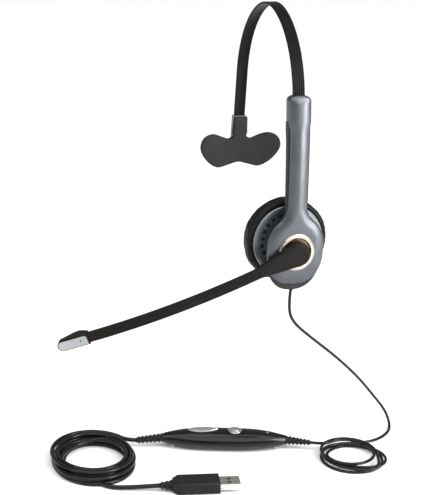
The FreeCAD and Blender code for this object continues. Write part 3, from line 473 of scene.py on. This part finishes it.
def usb_coil():
    low = FLOOR_Z / MM + 1.6
    step = 3.3
    layers = [Layer((18.5, -132.0), 36.0, 31.5, 8, 0.98, 0.72, low + 2 * step),
              Layer((21.5, -132.5), 37.0, 32.5, -12, 0.70, 0.99, low + step),
              Layer((20.0, -131.0), 37.2, 30.2, 0, 0.98, 0.72, low)]
    start = math.radians(133)
    end = math.radians(-18) + 7 * 2 * math.pi
    return coil_points(layers, start, end, (end - start) / (2 * math.pi) / 3, 1.5)


def smooth_curve(name, points, diameter, material):
    curve = bpy.data.curves.new(name, "CURVE")
    curve.dimensions = "3D"
    curve.bevel_depth = diameter / 2
    curve.bevel_resolution = 5
    curve.resolution_u = 6
    curve.use_fill_caps = True
    spline = curve.splines.new("NURBS")
    spline.points.add(len(points) - 1)
    for place, control in zip(points, spline.points):
        control.co = (place[0] * MM, place[1] * MM, place[2] * MM, 1)
    spline.order_u = 3
    spline.use_endpoint_u = True
    curve.materials.append(material)
    made = bpy.data.objects.new(name, curve)
    bpy.context.scene.collection.objects.link(made)
    return made


def spline_length(points):
    """Length in metres of the smooth line that the spline makes of these control points."""
    probe = bpy.data.curves.new("probe", "CURVE")
    probe.dimensions = "3D"
    probe.resolution_u = 6
    spline = probe.splines.new("NURBS")
    spline.points.add(len(points) - 1)
    for place, control in zip(points, spline.points):
        control.co = (place[0] * MM, place[1] * MM, place[2] * MM, 1)
    spline.order_u = 3
    spline.use_endpoint_u = True
    holder = bpy.data.objects.new("probe", probe)
    mesh = bpy.data.meshes.new_from_object(holder)
    line = [vertex.co.copy() for vertex in mesh.vertices]
    length = sum((b - a).length for a, b in zip(line, line[1:]))
    bpy.data.objects.remove(holder)
    bpy.data.curves.remove(probe)
    bpy.data.meshes.remove(mesh)
    return length


def make_cords(materials):
    headset_points = HEADSET_DROP + headset_coil() + HEADSET_LEAD[1:]
    headset = smooth_curve("headset_cord", headset_points, HEADSET_CORD, materials["cord_pvc"])
    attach(headset, "arm")
    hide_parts("headset_cord_drop", "headset_cord_coil", "headset_cord_lead")
    usb_points = USB_LEAD[:2] + usb_coil() + USB_TAIL[1:]
    usb = smooth_curve("usb_cord", usb_points, USB_CORD, materials["cord_pvc"])
    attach(usb, "arm")
    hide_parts("usb_cord_lead", "usb_cord_coil", "usb_cord_tail")
    spline_length(headset_points)
    spline_length(usb_points)


# ---- mesh helpers ----

def add_mesh(name, vertices, faces, material, body, slot, nodes=(), smooth_angle=40):
    """Piece from points in mm. It stands for the CAD nodes named, with faces smooth up to that angle."""
    mesh = bpy.data.meshes.new(name)
    mesh.from_pydata([Vector(point) * MM for point in vertices], [], faces)
    mesh.validate()
    work = bmesh.new()
    work.from_mesh(mesh)
    bmesh.ops.remove_doubles(work, verts=work.verts, dist=0.002 * MM)
    bmesh.ops.recalc_face_normals(work, faces=work.faces)
    work.to_mesh(mesh)
    work.free()
    mesh.materials.append(material)
    mesh.polygons.foreach_set("use_smooth", [True] * len(mesh.polygons))
    mesh.set_sharp_from_angle(angle=math.radians(smooth_angle))
    made = bpy.data.objects.new(name, mesh)
    bpy.context.scene.collection.objects.link(made)
    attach(made, body)
    if nodes:
        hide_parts(*nodes)
    return made


def arc_points(centre, radius, start, end, step=4.0):
    """Points on an arc, angles in degrees."""
    count = max(2, round(abs(end - start) / step))
    angles = [math.radians(start + (end - start) * index / count) for index in range(count + 1)]
    return [(centre[0] + radius * math.cos(a), centre[1] + radius * math.sin(a)) for a in angles]


def closed_spline(points, per_span=8):
    """Catmull-Rom curve through the points of a closed outline."""
    count = len(points)
    made = []
    for index in range(count):
        p0, p1, p2, p3 = [Vector(points[(index + k - 1) % count]) for k in range(4)]
        for part in range(per_span):
            t = part / per_span
            made.append(tuple(0.5 * (2 * p1 + (p2 - p0) * t + (2 * p0 - 5 * p1 + 4 * p2 - p3) * t ** 2
                                     + (3 * p1 - p0 - 3 * p2 + p3) * t ** 3)))
    return made


def evened(points, spacing, sharp=25):
    """The closed outline again with even spacing. Corners sharper than that angle keep their point."""
    count = len(points)
    corners = []
    for index in range(count):
        before = np.subtract(points[index], points[index - 1])
        after = np.subtract(points[(index + 1) % count], points[index])
        turn = abs(math.degrees(math.atan2(before[0] * after[1] - before[1] * after[0], before @ after)))
        if turn > sharp:
            corners.append(index)
    corners = corners or [0]
    made = []
    for first, last in zip(corners, corners[1:] + [corners[0] + count]):
        run = np.array([points[index % count] for index in range(first, last + 1)])
        walked = np.concatenate([[0], np.cumsum(np.linalg.norm(np.diff(run, axis=0), axis=1))])
        steps = max(1, round(walked[-1] / spacing))
        places = np.linspace(0, walked[-1], steps + 1)[:-1]
        made += [(float(np.interp(s, walked, run[:, 0])), float(np.interp(s, walked, run[:, 1]))) for s in places]
    return made


def edge_distance(points, outline):
    """Distance of each point from a closed outline."""
    start = np.array(outline)
    along = np.roll(start, -1, axis=0) - start
    nearest = np.full(len(points), 1e9)
    for place, step in zip(start, along):
        share = np.clip((points - place) @ step / max(step @ step, 1e-12), 0, 1)
        nearest = np.minimum(nearest, np.linalg.norm(points - place - share[:, None] * step, axis=1))
    return nearest


def is_inside(points, outline):
    found = np.zeros(len(points), bool)
    x, y = points[:, 0], points[:, 1]
    for (x1, y1), (x2, y2) in zip(outline, outline[1:] + outline[:1]):
        if y1 == y2:
            continue
        crosses = ((y1 > y) != (y2 > y)) & (x < (x2 - x1) * (y - y1) / (y2 - y1) + x1)
        found ^= crosses
    return found


class Sheet:
    """An outline with round holes, filled with triangles in rings that follow its edge."""

    def __init__(self, outline, holes=(), rings=(0.15, 0.4, 0.8, 1.3, 2.0), spacing=1.3, extra=()):
        if sum(a[0] * b[1] - b[0] * a[1] for a, b in zip(outline, outline[1:] + outline[:1])) < 0:
            outline = outline[::-1]
        loops = [outline]
        for centre, radius in holes:
            count = max(16, round(2 * math.pi * radius / (spacing * 0.6)))
            loops.append(arc_points(centre, radius, 0, 360 - 360 / count, 360 / count))
        inner = []
        start = np.array(outline)
        ahead = np.roll(start, -1, axis=0) - np.roll(start, 1, axis=0)
        inward = np.stack([-ahead[:, 1], ahead[:, 0]], 1)
        inward /= np.linalg.norm(inward, axis=1)[:, None]
        for depth in rings:
            ring = start + inward * depth
            inner.append(ring[edge_distance(ring, outline) > 0.96 * depth])
        low, high = start.min(0), start.max(0)
        across = np.arange(low[0] + spacing / 2, high[0], spacing)
        along = np.arange(low[1] + spacing / 2, high[1], spacing)
        grid = np.array([(a + (spacing / 2 if row % 2 else 0), b) for row, b in enumerate(along) for a in across])
        inner.append(grid[edge_distance(grid, outline) > rings[-1] + spacing * 0.45])
        if len(extra):
            inner.append(np.array(extra))
        inner = np.concatenate(inner)
        inner = inner[is_inside(inner, outline)]
        for centre, radius in holes:
            inner = inner[np.linalg.norm(inner - np.array(centre), axis=1) > radius + spacing * 0.35]
        coords = [tuple(point) for loop in loops for point in loop] + [tuple(point) for point in inner]
        edges = []
        first = 0
        for loop in loops:
            edges += [(first + index, first + (index + 1) % len(loop)) for index in range(len(loop))]
            first += len(loop)
        found = delaunay_2d_cdt([Vector(point) for point in coords], edges, [], 0, 1e-5)
        self.points = np.array([tuple(point) for point in found[0]])
        middles = np.array([self.points[list(face)].mean(0) for face in found[2]])
        keep = is_inside(middles, outline)
        for centre, radius in holes:
            keep &= np.linalg.norm(middles - np.array(centre), axis=1) > radius * 0.97
        self.faces = [list(face) for face, kept in zip(found[2], keep) if kept]
        self.depth = edge_distance(self.points, outline)
        used = {}
        for face in self.faces:
            for a, b in zip(face, face[1:] + face[:1]):
                used[(a, b)] = used.get((a, b), 0) + 1
        self.rim = [(a, b) for a, b in used if (b, a) not in used]

    def solid(self, front, back):
        """Points and faces of a closed body. front and back place a point from its (u, v) and depth."""
        first = [front(u, v, d) for (u, v), d in zip(self.points, self.depth)]
        second = [back(u, v, d) for (u, v), d in zip(self.points, self.depth)]
        count = len(first)
        faces = [list(face) for face in self.faces]
        faces += [[index + count for index in reversed(face)] for face in self.faces]
        faces += [[b, a, a + count, b + count] for a, b in self.rim]
        return first + second, faces


def rounded(depth, radius):
    """How far a rounded edge falls away at that depth inside the outline."""
    inside = max(0.0, radius - depth)
    return radius - math.sqrt(max(0.0, radius * radius - inside * inside))


def crowned(depth, reach, fall):
    """How far a gently crowned face falls away towards its outline."""
    return fall * max(0.0, 1 - depth / reach) ** 2


def sweep(path, section, name, material, body, slot, nodes):
    """Section carried along a path. path gives (place, outward, sideways) and section (outward, sideways)."""
    vertices = []
    for place, outward, sideways in path:
        vertices += [place + outward * n + sideways * s for n, s in section]
    count = len(section)
    faces = []
    for row in range(len(path) - 1):
        for index in range(count):
            following = (index + 1) % count
            faces.append([row * count + index, row * count + following,
                          (row + 1) * count + following, (row + 1) * count + index])
    faces.append(list(range(count)))
    faces.append(list(range((len(path) - 1) * count, len(path) * count)))
    return add_mesh(name, vertices, faces, material, body, slot, nodes)


# ---- headband ----

BAND_HALF = 4.3
BAND_THICK = 1.5
CROWN_RADIUS = 44.0
CROWN_HALF_ANGLE = 18.8
SIDE_RADIUS = 63.7
LEG_TILT = 6.0
TAIL_LENGTH = 48.5
TBAR_LEG_LENGTH = 50.0
BAND_RIBS = 5


def band_path():
    """From the tail in the arm over the crown to the end in the T-bar, with the outward direction."""
    side = Vector((0, 1, 0))
    crown_z = BAND_THICK / 2 - CROWN_RADIUS
    turn = math.radians(CROWN_HALF_ANGLE)
    tilt = math.radians(LEG_TILT)
    centre = Vector(((CROWN_RADIUS - SIDE_RADIUS) * math.sin(turn), 0,
                     crown_z + (CROWN_RADIUS - SIDE_RADIUS) * math.cos(turn)))
    quarter = []
    for index in range(13):
        angle = turn * index / 12
        outward = Vector((math.sin(angle), 0, math.cos(angle)))
        quarter.append((Vector((0, 0, crown_z)) + outward * CROWN_RADIUS, outward))
    for index in range(1, 41):
        angle = turn + (math.pi / 2 - tilt - turn) * index / 40
        outward = Vector((math.sin(angle), 0, math.cos(angle)))
        quarter.append((centre + outward * SIDE_RADIUS, outward))
    leg, outward = quarter[-1]
    down = Vector((math.sin(tilt), 0, -math.cos(tilt)))
    path = []
    for length in (TAIL_LENGTH, TAIL_LENGTH - 0.4, 30, 10):
        path.append((leg + down * length, outward, side))
    path += [(place, ahead, side) for place, ahead in reversed(quarter)]
    for place, ahead in quarter[1:]:
        path.append((Vector((-place.x, 0, place.z)), Vector((-ahead.x, 0, ahead.z)), side))
    far_leg = Vector((-leg.x, 0, leg.z))
    far_down = Vector((-down.x, 0, down.z))
    for length in (10, 30, TBAR_LEG_LENGTH - 0.4, TBAR_LEG_LENGTH):
        path.append((far_leg + far_down * length, Vector((-outward.x, 0, outward.z)), side))
    return path


def band_section():
    """Half-round ribs along the outer face, and a shallow bed between two edge beads on the inner face."""
    half = BAND_THICK / 2
    points = []
    steps = BAND_RIBS * 8
    for index in range(steps + 1):
        across = -BAND_HALF + 0.45 + (2 * BAND_HALF - 0.9) * index / steps
        points.append((half - 0.09 + 0.09 * math.cos(2 * math.pi * BAND_RIBS * index / steps), across))
    points += [(half - 0.12, BAND_HALF - 0.15), (half - 0.45, BAND_HALF), (0.3 - half, BAND_HALF),
               (0.08 - half, BAND_HALF - 0.12), (-half, BAND_HALF - 0.4), (-half, BAND_HALF - 0.9),
               (0.12 - half, BAND_HALF - 1.15), (0.12 - half, 0)]
    points += [(n, -s) for n, s in reversed(points[steps + 1:-1])]
    return points


def make_band(materials):
    sweep(band_path(), band_section(), "headband_band", materials["black_band"], "headband", "black_band",
          ["headband_strip"])


# ---- T-bar ----

TBAR_LEG = Vector((-57.0, 0, -55.24))
TBAR_OUTLINE = [(5.4, -49.8), (8.6, -52.0), (14, -50.2), (22, -47.4), (29.4, -49.6), (32.3, -56.2), (30, -63.4),
                (24, -70.4), (16.5, -74.4), (8, -72.8)]
TBAR_SADDLE = (0, -70.9)
TBAR_SLEEVE_TOP = -35.0
TBAR_MIDDLE = -61.0
TBAR_BEND = 110.0
TBAR_FRONT = 2.1             # where the pad meets its backing
TBAR_PAD = 3.6
TBAR_BACKING = 1.6


def tbar_outline(shrink_y, shrink_z, top):
    lobe = [(y * shrink_y, TBAR_MIDDLE + (z - TBAR_MIDDLE) * shrink_z) for y, z in TBAR_OUTLINE]
    saddle = (0, TBAR_MIDDLE + (TBAR_SADDLE[1] - TBAR_MIDDLE) * shrink_z)
    right = [lobe[0]] + lobe[1:]
    whole = right + [saddle] + [(-y, z) for y, z in reversed(right)]
    curve = closed_spline([(lobe[0][0], lobe[0][1] + 4)] + whole + [(-lobe[0][0], lobe[0][1] + 4)])
    middle = [point for point in curve if not (abs(point[0]) < lobe[0][0] + 0.1 and point[1] > lobe[0][1] + 0.5)]
    half = lobe[0][0]
    start = next(index for index, point in enumerate(middle) if point[0] > 0)
    ordered = middle[start:] + middle[:start]
    sleeve = [(-half, top - 0.6), (-half + 0.6, top), (half - 0.6, top), (half, top - 0.6)]
    return evened(sleeve + ordered, 0.9)


def on_tbar_leg(offset, across, height):
    """Row-frame point of the T-bar from its offset towards the head, bent round the head."""
    radius = TBAR_BEND - offset
    bent = TBAR_BEND - math.sqrt(radius * radius - across * across)
    turn = Matrix.Rotation(math.radians(LEG_TILT), 3, "Y")
    return TBAR_LEG + turn @ Vector((bent, across, height))


def make_tbar(materials):
    pad = Sheet(tbar_outline(0.995, 0.995, TBAR_SLEEVE_TOP), rings=(0.12, 0.35, 0.7, 1.1, 1.6, 2.4), spacing=1.4)
    points, faces = pad.solid(
        lambda u, v, d: on_tbar_leg(TBAR_FRONT + TBAR_PAD - rounded(d, 1.1) - crowned(d, 6, 0.45) - 0.02, u, v),
        lambda u, v, d: on_tbar_leg(TBAR_FRONT + 0.05 + rounded(d, 0.4), u, v))
    made = add_mesh("tbar_soft_pad", points, faces, materials["tbar_rubber"], "headband", "tbar_rubber", ["tbar_pad"])


# ---- arm ----

OUTER_FACE = [(62.4, -50), (64.9, -80), (66.2, -108), (66.6, -135), (66.5, -158), (65.8, -174), (63.0, -194)]
INNER_FACE = [(51.6, -50), (54.4, -80), (56.6, -108), (58.0, -132), (58.2, -160), (57.6, -178), (55.4, -194)]
ARM_HALF = 7.9
NECK_HALF = 6.8
LOBE_HALF = 20.6
LOBE_TOP_Z = -156.0
LOBE_LOW_Z = -162.0
FLARE_RADIUS = 16.0
SLEEVE_TOP_Z = -53.6
SLEEVE_Z = -71.0
NECK_Z = -79.0
COVER_DEPTH = 3.2
COVER_CHIN_Z = -185.0
SHELL_CHIN_Z = -189.6
CHIN_POWER = 2.35            # how square the chin is: 2 is an ellipse
COVER_WALL = 1.3
SHELL_WALL = 1.9
PIVOT = Vector((0, 0, -160.7))
RING_SEAT = 13.02
CHIN_FILL_Z = -181.5         # below this the shell is solid up to the cover
CHANNEL_HALF = 5.6           # the headband's way in, through the top of the shell
CHANNEL_LOW_Z = -77.0
CUP = Vector((0, -1.2, -156.5))


def face_x(points, z):
    """x of a side curve of the arm at that height, through its points (Lagrange over the four nearest)."""
    order = sorted(points, key=lambda point: abs(point[1] - z))[:4]
    total = 0.0
    for i, (x, zi) in enumerate(order):
        weight = 1.0
        for j, (_, zj) in enumerate(order):
            if i != j:
                weight *= (z - zj) / (zi - zj)
        total += x * weight
    return total


def lobe_sides(neck, grow, chin_z):
    """Half outline (y, z) downwards from the neck: the flare, the round lobe and the chin."""
    centre_y = NECK_HALF + FLARE_RADIUS
    drop = math.sqrt((FLARE_RADIUS + LOBE_HALF) ** 2 - centre_y ** 2)
    flare_z = LOBE_TOP_Z + drop
    radius = FLARE_RADIUS - grow
    lobe = LOBE_HALF + grow
    meet = math.degrees(math.atan2(drop, centre_y))
    start = math.degrees(math.acos(min(1.0, (centre_y - neck) / radius)))
    flare = [(centre_y - radius * math.cos(math.radians(a)), flare_z - radius * math.sin(math.radians(a)))
             for a in np.linspace(start, meet, 12)]
    shoulder = [(lobe * math.cos(math.radians(a)), LOBE_TOP_Z + lobe * math.sin(math.radians(a)))
                for a in np.linspace(meet, 0, 14)][1:]
    depth = LOBE_LOW_Z - chin_z
    chin = []
    for a in np.linspace(0, 90, 40):
        part = math.radians(a)
        chin.append((lobe * math.cos(part) ** (2 / CHIN_POWER), LOBE_LOW_Z - depth * math.sin(part) ** (2 / CHIN_POWER)))
    return flare + shoulder + chin


def whole_outline(half, spacing=0.9):
    """Closed outline from its +Y half, which runs downwards from the top to the chin."""
    left = [(-y, z) for y, z in reversed(half) if y > 1e-6]
    return evened(half + left, spacing)


def cover_half():
    top = []
    for a in np.linspace(90, 0, 16):
        part = math.radians(a)
        top.append((ARM_HALF * math.cos(part) ** (2 / 2.6), SLEEVE_TOP_Z - 4.6 + 4.6 * math.sin(part) ** (2 / 2.6)))
    taper = []
    for share in np.linspace(0, 1, 8):
        ease = share * share * (3 - 2 * share)
        taper.append((ARM_HALF + (NECK_HALF - ARM_HALF) * ease, SLEEVE_Z + (NECK_Z - SLEEVE_Z) * share))
    return top + taper + lobe_sides(NECK_HALF, 0.0, COVER_CHIN_Z)


def shell_half():
    top = [(0.0, SLEEVE_Z - 0.1), (ARM_HALF, SLEEVE_Z - 0.1)]
    return top + lobe_sides(ARM_HALF, -0.7, SHELL_CHIN_Z)


def cover_front(u, v, d):
    x = face_x(OUTER_FACE, v) - rounded(d, 0.9) - crowned(d, 7.0, 2.0)
    return Vector((x, u, v))


def cover_back(u, v, d):
    if v > SLEEVE_Z:
        return Vector((face_x(INNER_FACE, v) + rounded(d, 2.2) + crowned(d, 6, 0.8), u, v))
    lip = 1 if d < COVER_WALL else 0
    depth = COVER_DEPTH if lip else COVER_WALL + 1.2
    return Vector((face_x(OUTER_FACE, v) - depth, u, v))


def shell_front(u, v, d):
    in_channel = abs(u) < CHANNEL_HALF and v > CHANNEL_LOW_Z
    if (d < SHELL_WALL and not in_channel) or v < CHIN_FILL_Z:
        return Vector((face_x(OUTER_FACE, v) - COVER_DEPTH - 0.08 - rounded(d, 0.6), u, v))
    return Vector((max(face_x(INNER_FACE, v) + 1.5, shell_back(u, v, d).x + 0.3), u, v))


def shell_back(u, v, d):
    """The edge is tighter towards the top, where the headband's stop comes up to it."""
    below = min(1.0, max(0.0, (CHANNEL_LOW_Z - v) / 8))
    return Vector((face_x(INNER_FACE, v) + rounded(d, 1.2 + 1.2 * below) + crowned(d, 7, 0.7), u, v))


def make_arm(materials):
    level = [(y, SLEEVE_Z + shift) for shift in (-0.06, 0.06) for y in np.arange(-7, 7.01, 0.9)]
    cover = Sheet(whole_outline(cover_half()), [((0, PIVOT.z), RING_SEAT)],
                  (0.12, 0.35, 0.65, 1.0, COVER_WALL - 0.03, COVER_WALL + 0.12, 2.0, 3.0, 4.2), 1.2, level)
    points, faces = cover.solid(cover_front, cover_back)
    add_mesh("arm_cover", points, faces, materials["silver_paint"], "arm", "silver_paint", ["arm_outer_cover"])
    screw_wells = [((0, -116.0), 1.95), ((0, -178.5), 1.95)]
    chin_level = [(y, CHIN_FILL_Z + shift) for shift in (-0.06, 0.06) for y in np.arange(-14, 14.01, 1.0)]
    shell = Sheet(whole_outline(shell_half()), [((CUP.y, CUP.z), 7.4)] + screw_wells,
                  (0.12, 0.4, 0.9, 1.4, SHELL_WALL - 0.03, SHELL_WALL + 0.12, 2.6, 3.6), 1.3, chin_level)
    points, faces = shell.solid(shell_front, shell_back)
    add_mesh("arm_shell", points, faces, materials["dark_shell"], "arm", "dark_shell", ["arm_inner_shell"])


# ---- boom ----

BOOM_X = 70.3
BOOM_BEND = 340.0
BOOM_STRAIGHT = 15.0
BOOM_START = 31.6
HUB_RADIUS = 8.3
HUB_LENGTH = 32.0
HUB_THICK = 2.9
HUB_BOSS = 7.8
BOOM_END = 151.0
BOOM_DROP = 22.5
BOOM_HALF = 3.6
BOOM_HALF_THICK = 2.4


def boom_path():
    drop = Matrix.Rotation(math.radians(BOOM_DROP), 3, "X")
    path = []
    for reach in np.linspace(BOOM_START, BOOM_END, 61):
        angle = math.asin(max(0.0, reach - BOOM_STRAIGHT) / BOOM_BEND)
        outward = Vector((math.cos(angle), -math.sin(angle), 0))
        place = Vector((BOOM_X - BOOM_BEND, -BOOM_STRAIGHT, 0)) + outward * BOOM_BEND
        path.append((PIVOT + drop @ place, drop @ outward, drop @ Vector((0, 0, 1))))
    return path


def boom_section():
    """Rounded bar with two fine grooves along its outer face and one along its inner face."""
    points = []
    for index in range(72):
        angle = 2 * math.pi * index / 72
        n = math.copysign(abs(math.cos(angle)) ** 0.42, math.cos(angle)) * BOOM_HALF_THICK
        s = math.copysign(abs(math.sin(angle)) ** 0.62, math.sin(angle)) * BOOM_HALF
        grooves = (1.25, -1.25) if n > 0 else (0.0,)
        for groove in grooves:
            n -= math.copysign(0.32, n) * math.exp(-((s - groove) / 0.26) ** 2)
        points.append((n, s))
    return points


def hub_outline():
    """Teardrop round the pivot, forward to -u, whose sides close in to the boom."""
    reach = math.hypot(HUB_LENGTH, BOOM_HALF)
    touch = math.degrees(math.acos(HUB_RADIUS / reach) + math.atan2(BOOM_HALF, HUB_LENGTH))
    head = arc_points((0, 0), HUB_RADIUS, touch - 180, 180 - touch)
    tail = [(-HUB_LENGTH, BOOM_HALF), (-HUB_LENGTH, -BOOM_HALF)]
    return evened(head + tail, 0.8)


def on_hub(x, u, v):
    turned = Matrix.Rotation(math.radians(BOOM_DROP), 3, "X") @ Vector((0, u, v))
    return Vector((x, PIVOT.y + turned.y, PIVOT.z + turned.z))


def hub_front(u, v, d):
    """The face is flat round the pivot, thins towards the boom and ends at the boom's own face."""
    share = min(1.0, max(0.0, (-u - 6) / (HUB_LENGTH - 6)))
    ease = share * share * (3 - 2 * share)
    thick = HUB_THICK + (BOOM_HALF_THICK + 0.04 - HUB_THICK) * ease
    if u < 0.3 - HUB_LENGTH:
        d = BOOM_HALF - abs(v)
    edge = min(d, BOOM_HALF - abs(v) + (1 - ease) * 8)
    return on_hub(BOOM_X + boom_shift(u) + thick - rounded(edge, 1.7 - 0.3 * ease) - crowned(edge, 5, 0.25), u, v)


def hub_back(u, v, d):
    if u < 0.3 - HUB_LENGTH:
        d = BOOM_HALF - abs(v)
    return on_hub(BOOM_X + boom_shift(u) - BOOM_HALF_THICK + rounded(d, 0.6), u, v)


def boom_shift(u):
    """How far the bent boom has moved inwards at that distance forward of the pivot."""
    ahead = max(0.0, -u - BOOM_STRAIGHT)
    return math.sqrt(BOOM_BEND ** 2 - ahead ** 2) - BOOM_BEND


def make_boom(materials):
    hub = Sheet(hub_outline(), rings=(0.12, 0.35, 0.7, 1.1, 1.7), spacing=1.0)
    points, faces = hub.solid(hub_front, hub_back)
    points = points + [on_hub(x, 0, 0) + Vector((0, HUB_BOSS * math.cos(a), HUB_BOSS * math.sin(a)))
                       for x in (BOOM_X - BOOM_HALF_THICK + 0.3, BOOM_X - 3.4)
                       for a in np.linspace(0, 2 * math.pi, 65)[:-1]]
    first = len(points) - 128
    faces += [[first + i, first + (i + 1) % 64, first + 64 + (i + 1) % 64, first + 64 + i] for i in range(64)]
    faces += [list(range(first, first + 64)), list(range(first + 127, first + 63, -1))]
    add_mesh("boom_pivot_knob", points, faces, materials["boom_black"], "boom", "boom_black", ["boom_hub"])
    sweep(boom_path(), boom_section(), "boom_bar", materials["boom_black"], "boom", "boom_black", ["boom_arm"])


# ---- ear cushion ----

CUSHION_PROFILE = [(52.1, 26.5), (51.9, 28.0), (50.4, 29.3), (48.0, 29.8), (45.0, 29.9), (42.4, 29.2), (40.3, 27.6),
                   (39.0, 25.4), (38.55, 23.2), (38.6, 20.8), (39.2, 18.4), (40.3, 16.5), (41.7, 15.3), (42.6, 15.2),
                   (42.75, 17.0), (42.8, 20.8), (45.5, 21.0), (48.2, 21.0), (48.4, 23.5), (48.3, 26.3), (50.2, 26.4)]
CUSHION_TURNS = 192


def cushion_wrinkle(angle, place):
    """Height in mm of the folds where the leatherette is gathered over the foam ring."""
    around = Vector((math.cos(angle) * 3.2, math.sin(angle) * 3.2, place * 0.9))
    fine = noise.noise(Vector((math.cos(angle) * 11, math.sin(angle) * 11, place * 1.1)))
    return 0.55 * noise.noise(around) + 0.42 * fine * abs(math.sin(place * 1.1))


def make_cushion(materials):
    profile = closed_spline(CUSHION_PROFILE, 4)
    count = len(profile)
    outside = 13 * 4
    vertices = []
    for turn in range(CUSHION_TURNS):
        angle = 2 * math.pi * turn / CUSHION_TURNS
        for index, (x, radius) in enumerate(profile):
            before, after = profile[index - 1], profile[(index + 1) % count]
            normal = Vector((after[1] - before[1], before[0] - after[0])).normalized()
            shown = math.sin(math.pi * min(index, outside) / outside) ** 0.5 if index < outside else 0
            height = cushion_wrinkle(angle, index / 8) * shown - 0.12 * shown
            seam = 0.35 * math.exp(-((index - 14) / 1.1) ** 2)
            move = height - seam * shown
            x_here = x + normal.x * move
            r_here = radius + normal.y * move
            vertices.append((x_here, CUP.y + r_here * math.cos(angle), CUP.z + r_here * math.sin(angle)))
    faces = []
    for turn in range(CUSHION_TURNS):
        following = (turn + 1) % CUSHION_TURNS
        for index in range(count):
            ahead = (index + 1) % count
            faces.append([turn * count + index, turn * count + ahead, following * count + ahead,
                          following * count + index])
    made = add_mesh("ear_pad", vertices, faces, materials["leatherette"], "cup", "leatherette", ["ear_cushion"], 80)


FOAM_RADIUS = 19.5
FOAM_FACE = 42.9
FOAM_BACK = 44.4


def make_foam(materials):
    """The thin foam disc in front of the speaker: a soft edge and a slightly uneven face."""
    disc = Sheet(arc_points((0, 0), FOAM_RADIUS, 0, 357, 3), spacing=1.0)

    def face(u, v, d):
        uneven = 0.15 + 0.15 * noise.noise(Vector((u * 0.45, v * 0.45, 0)))
        return Vector((FOAM_FACE + rounded(d, 1.0) + uneven, CUP.y + u, CUP.z + v))

    def back(u, v, d):
        return Vector((FOAM_BACK, CUP.y + u, CUP.z + v))

    made = add_mesh("speaker_foam", *disc.solid(face, back), materials["seal_foam"], "cup", "seal_foam", ["ear_foam"])


make_camera()
MATERIALS = make_materials()
make_studio()
paint_cad_nodes(MATERIALS)
soften_cad_edges()
make_cords(MATERIALS)
make_band(MATERIALS)
make_tbar(MATERIALS)
make_arm(MATERIALS)
make_boom(MATERIALS)
make_cushion(MATERIALS)
make_foam(MATERIALS)
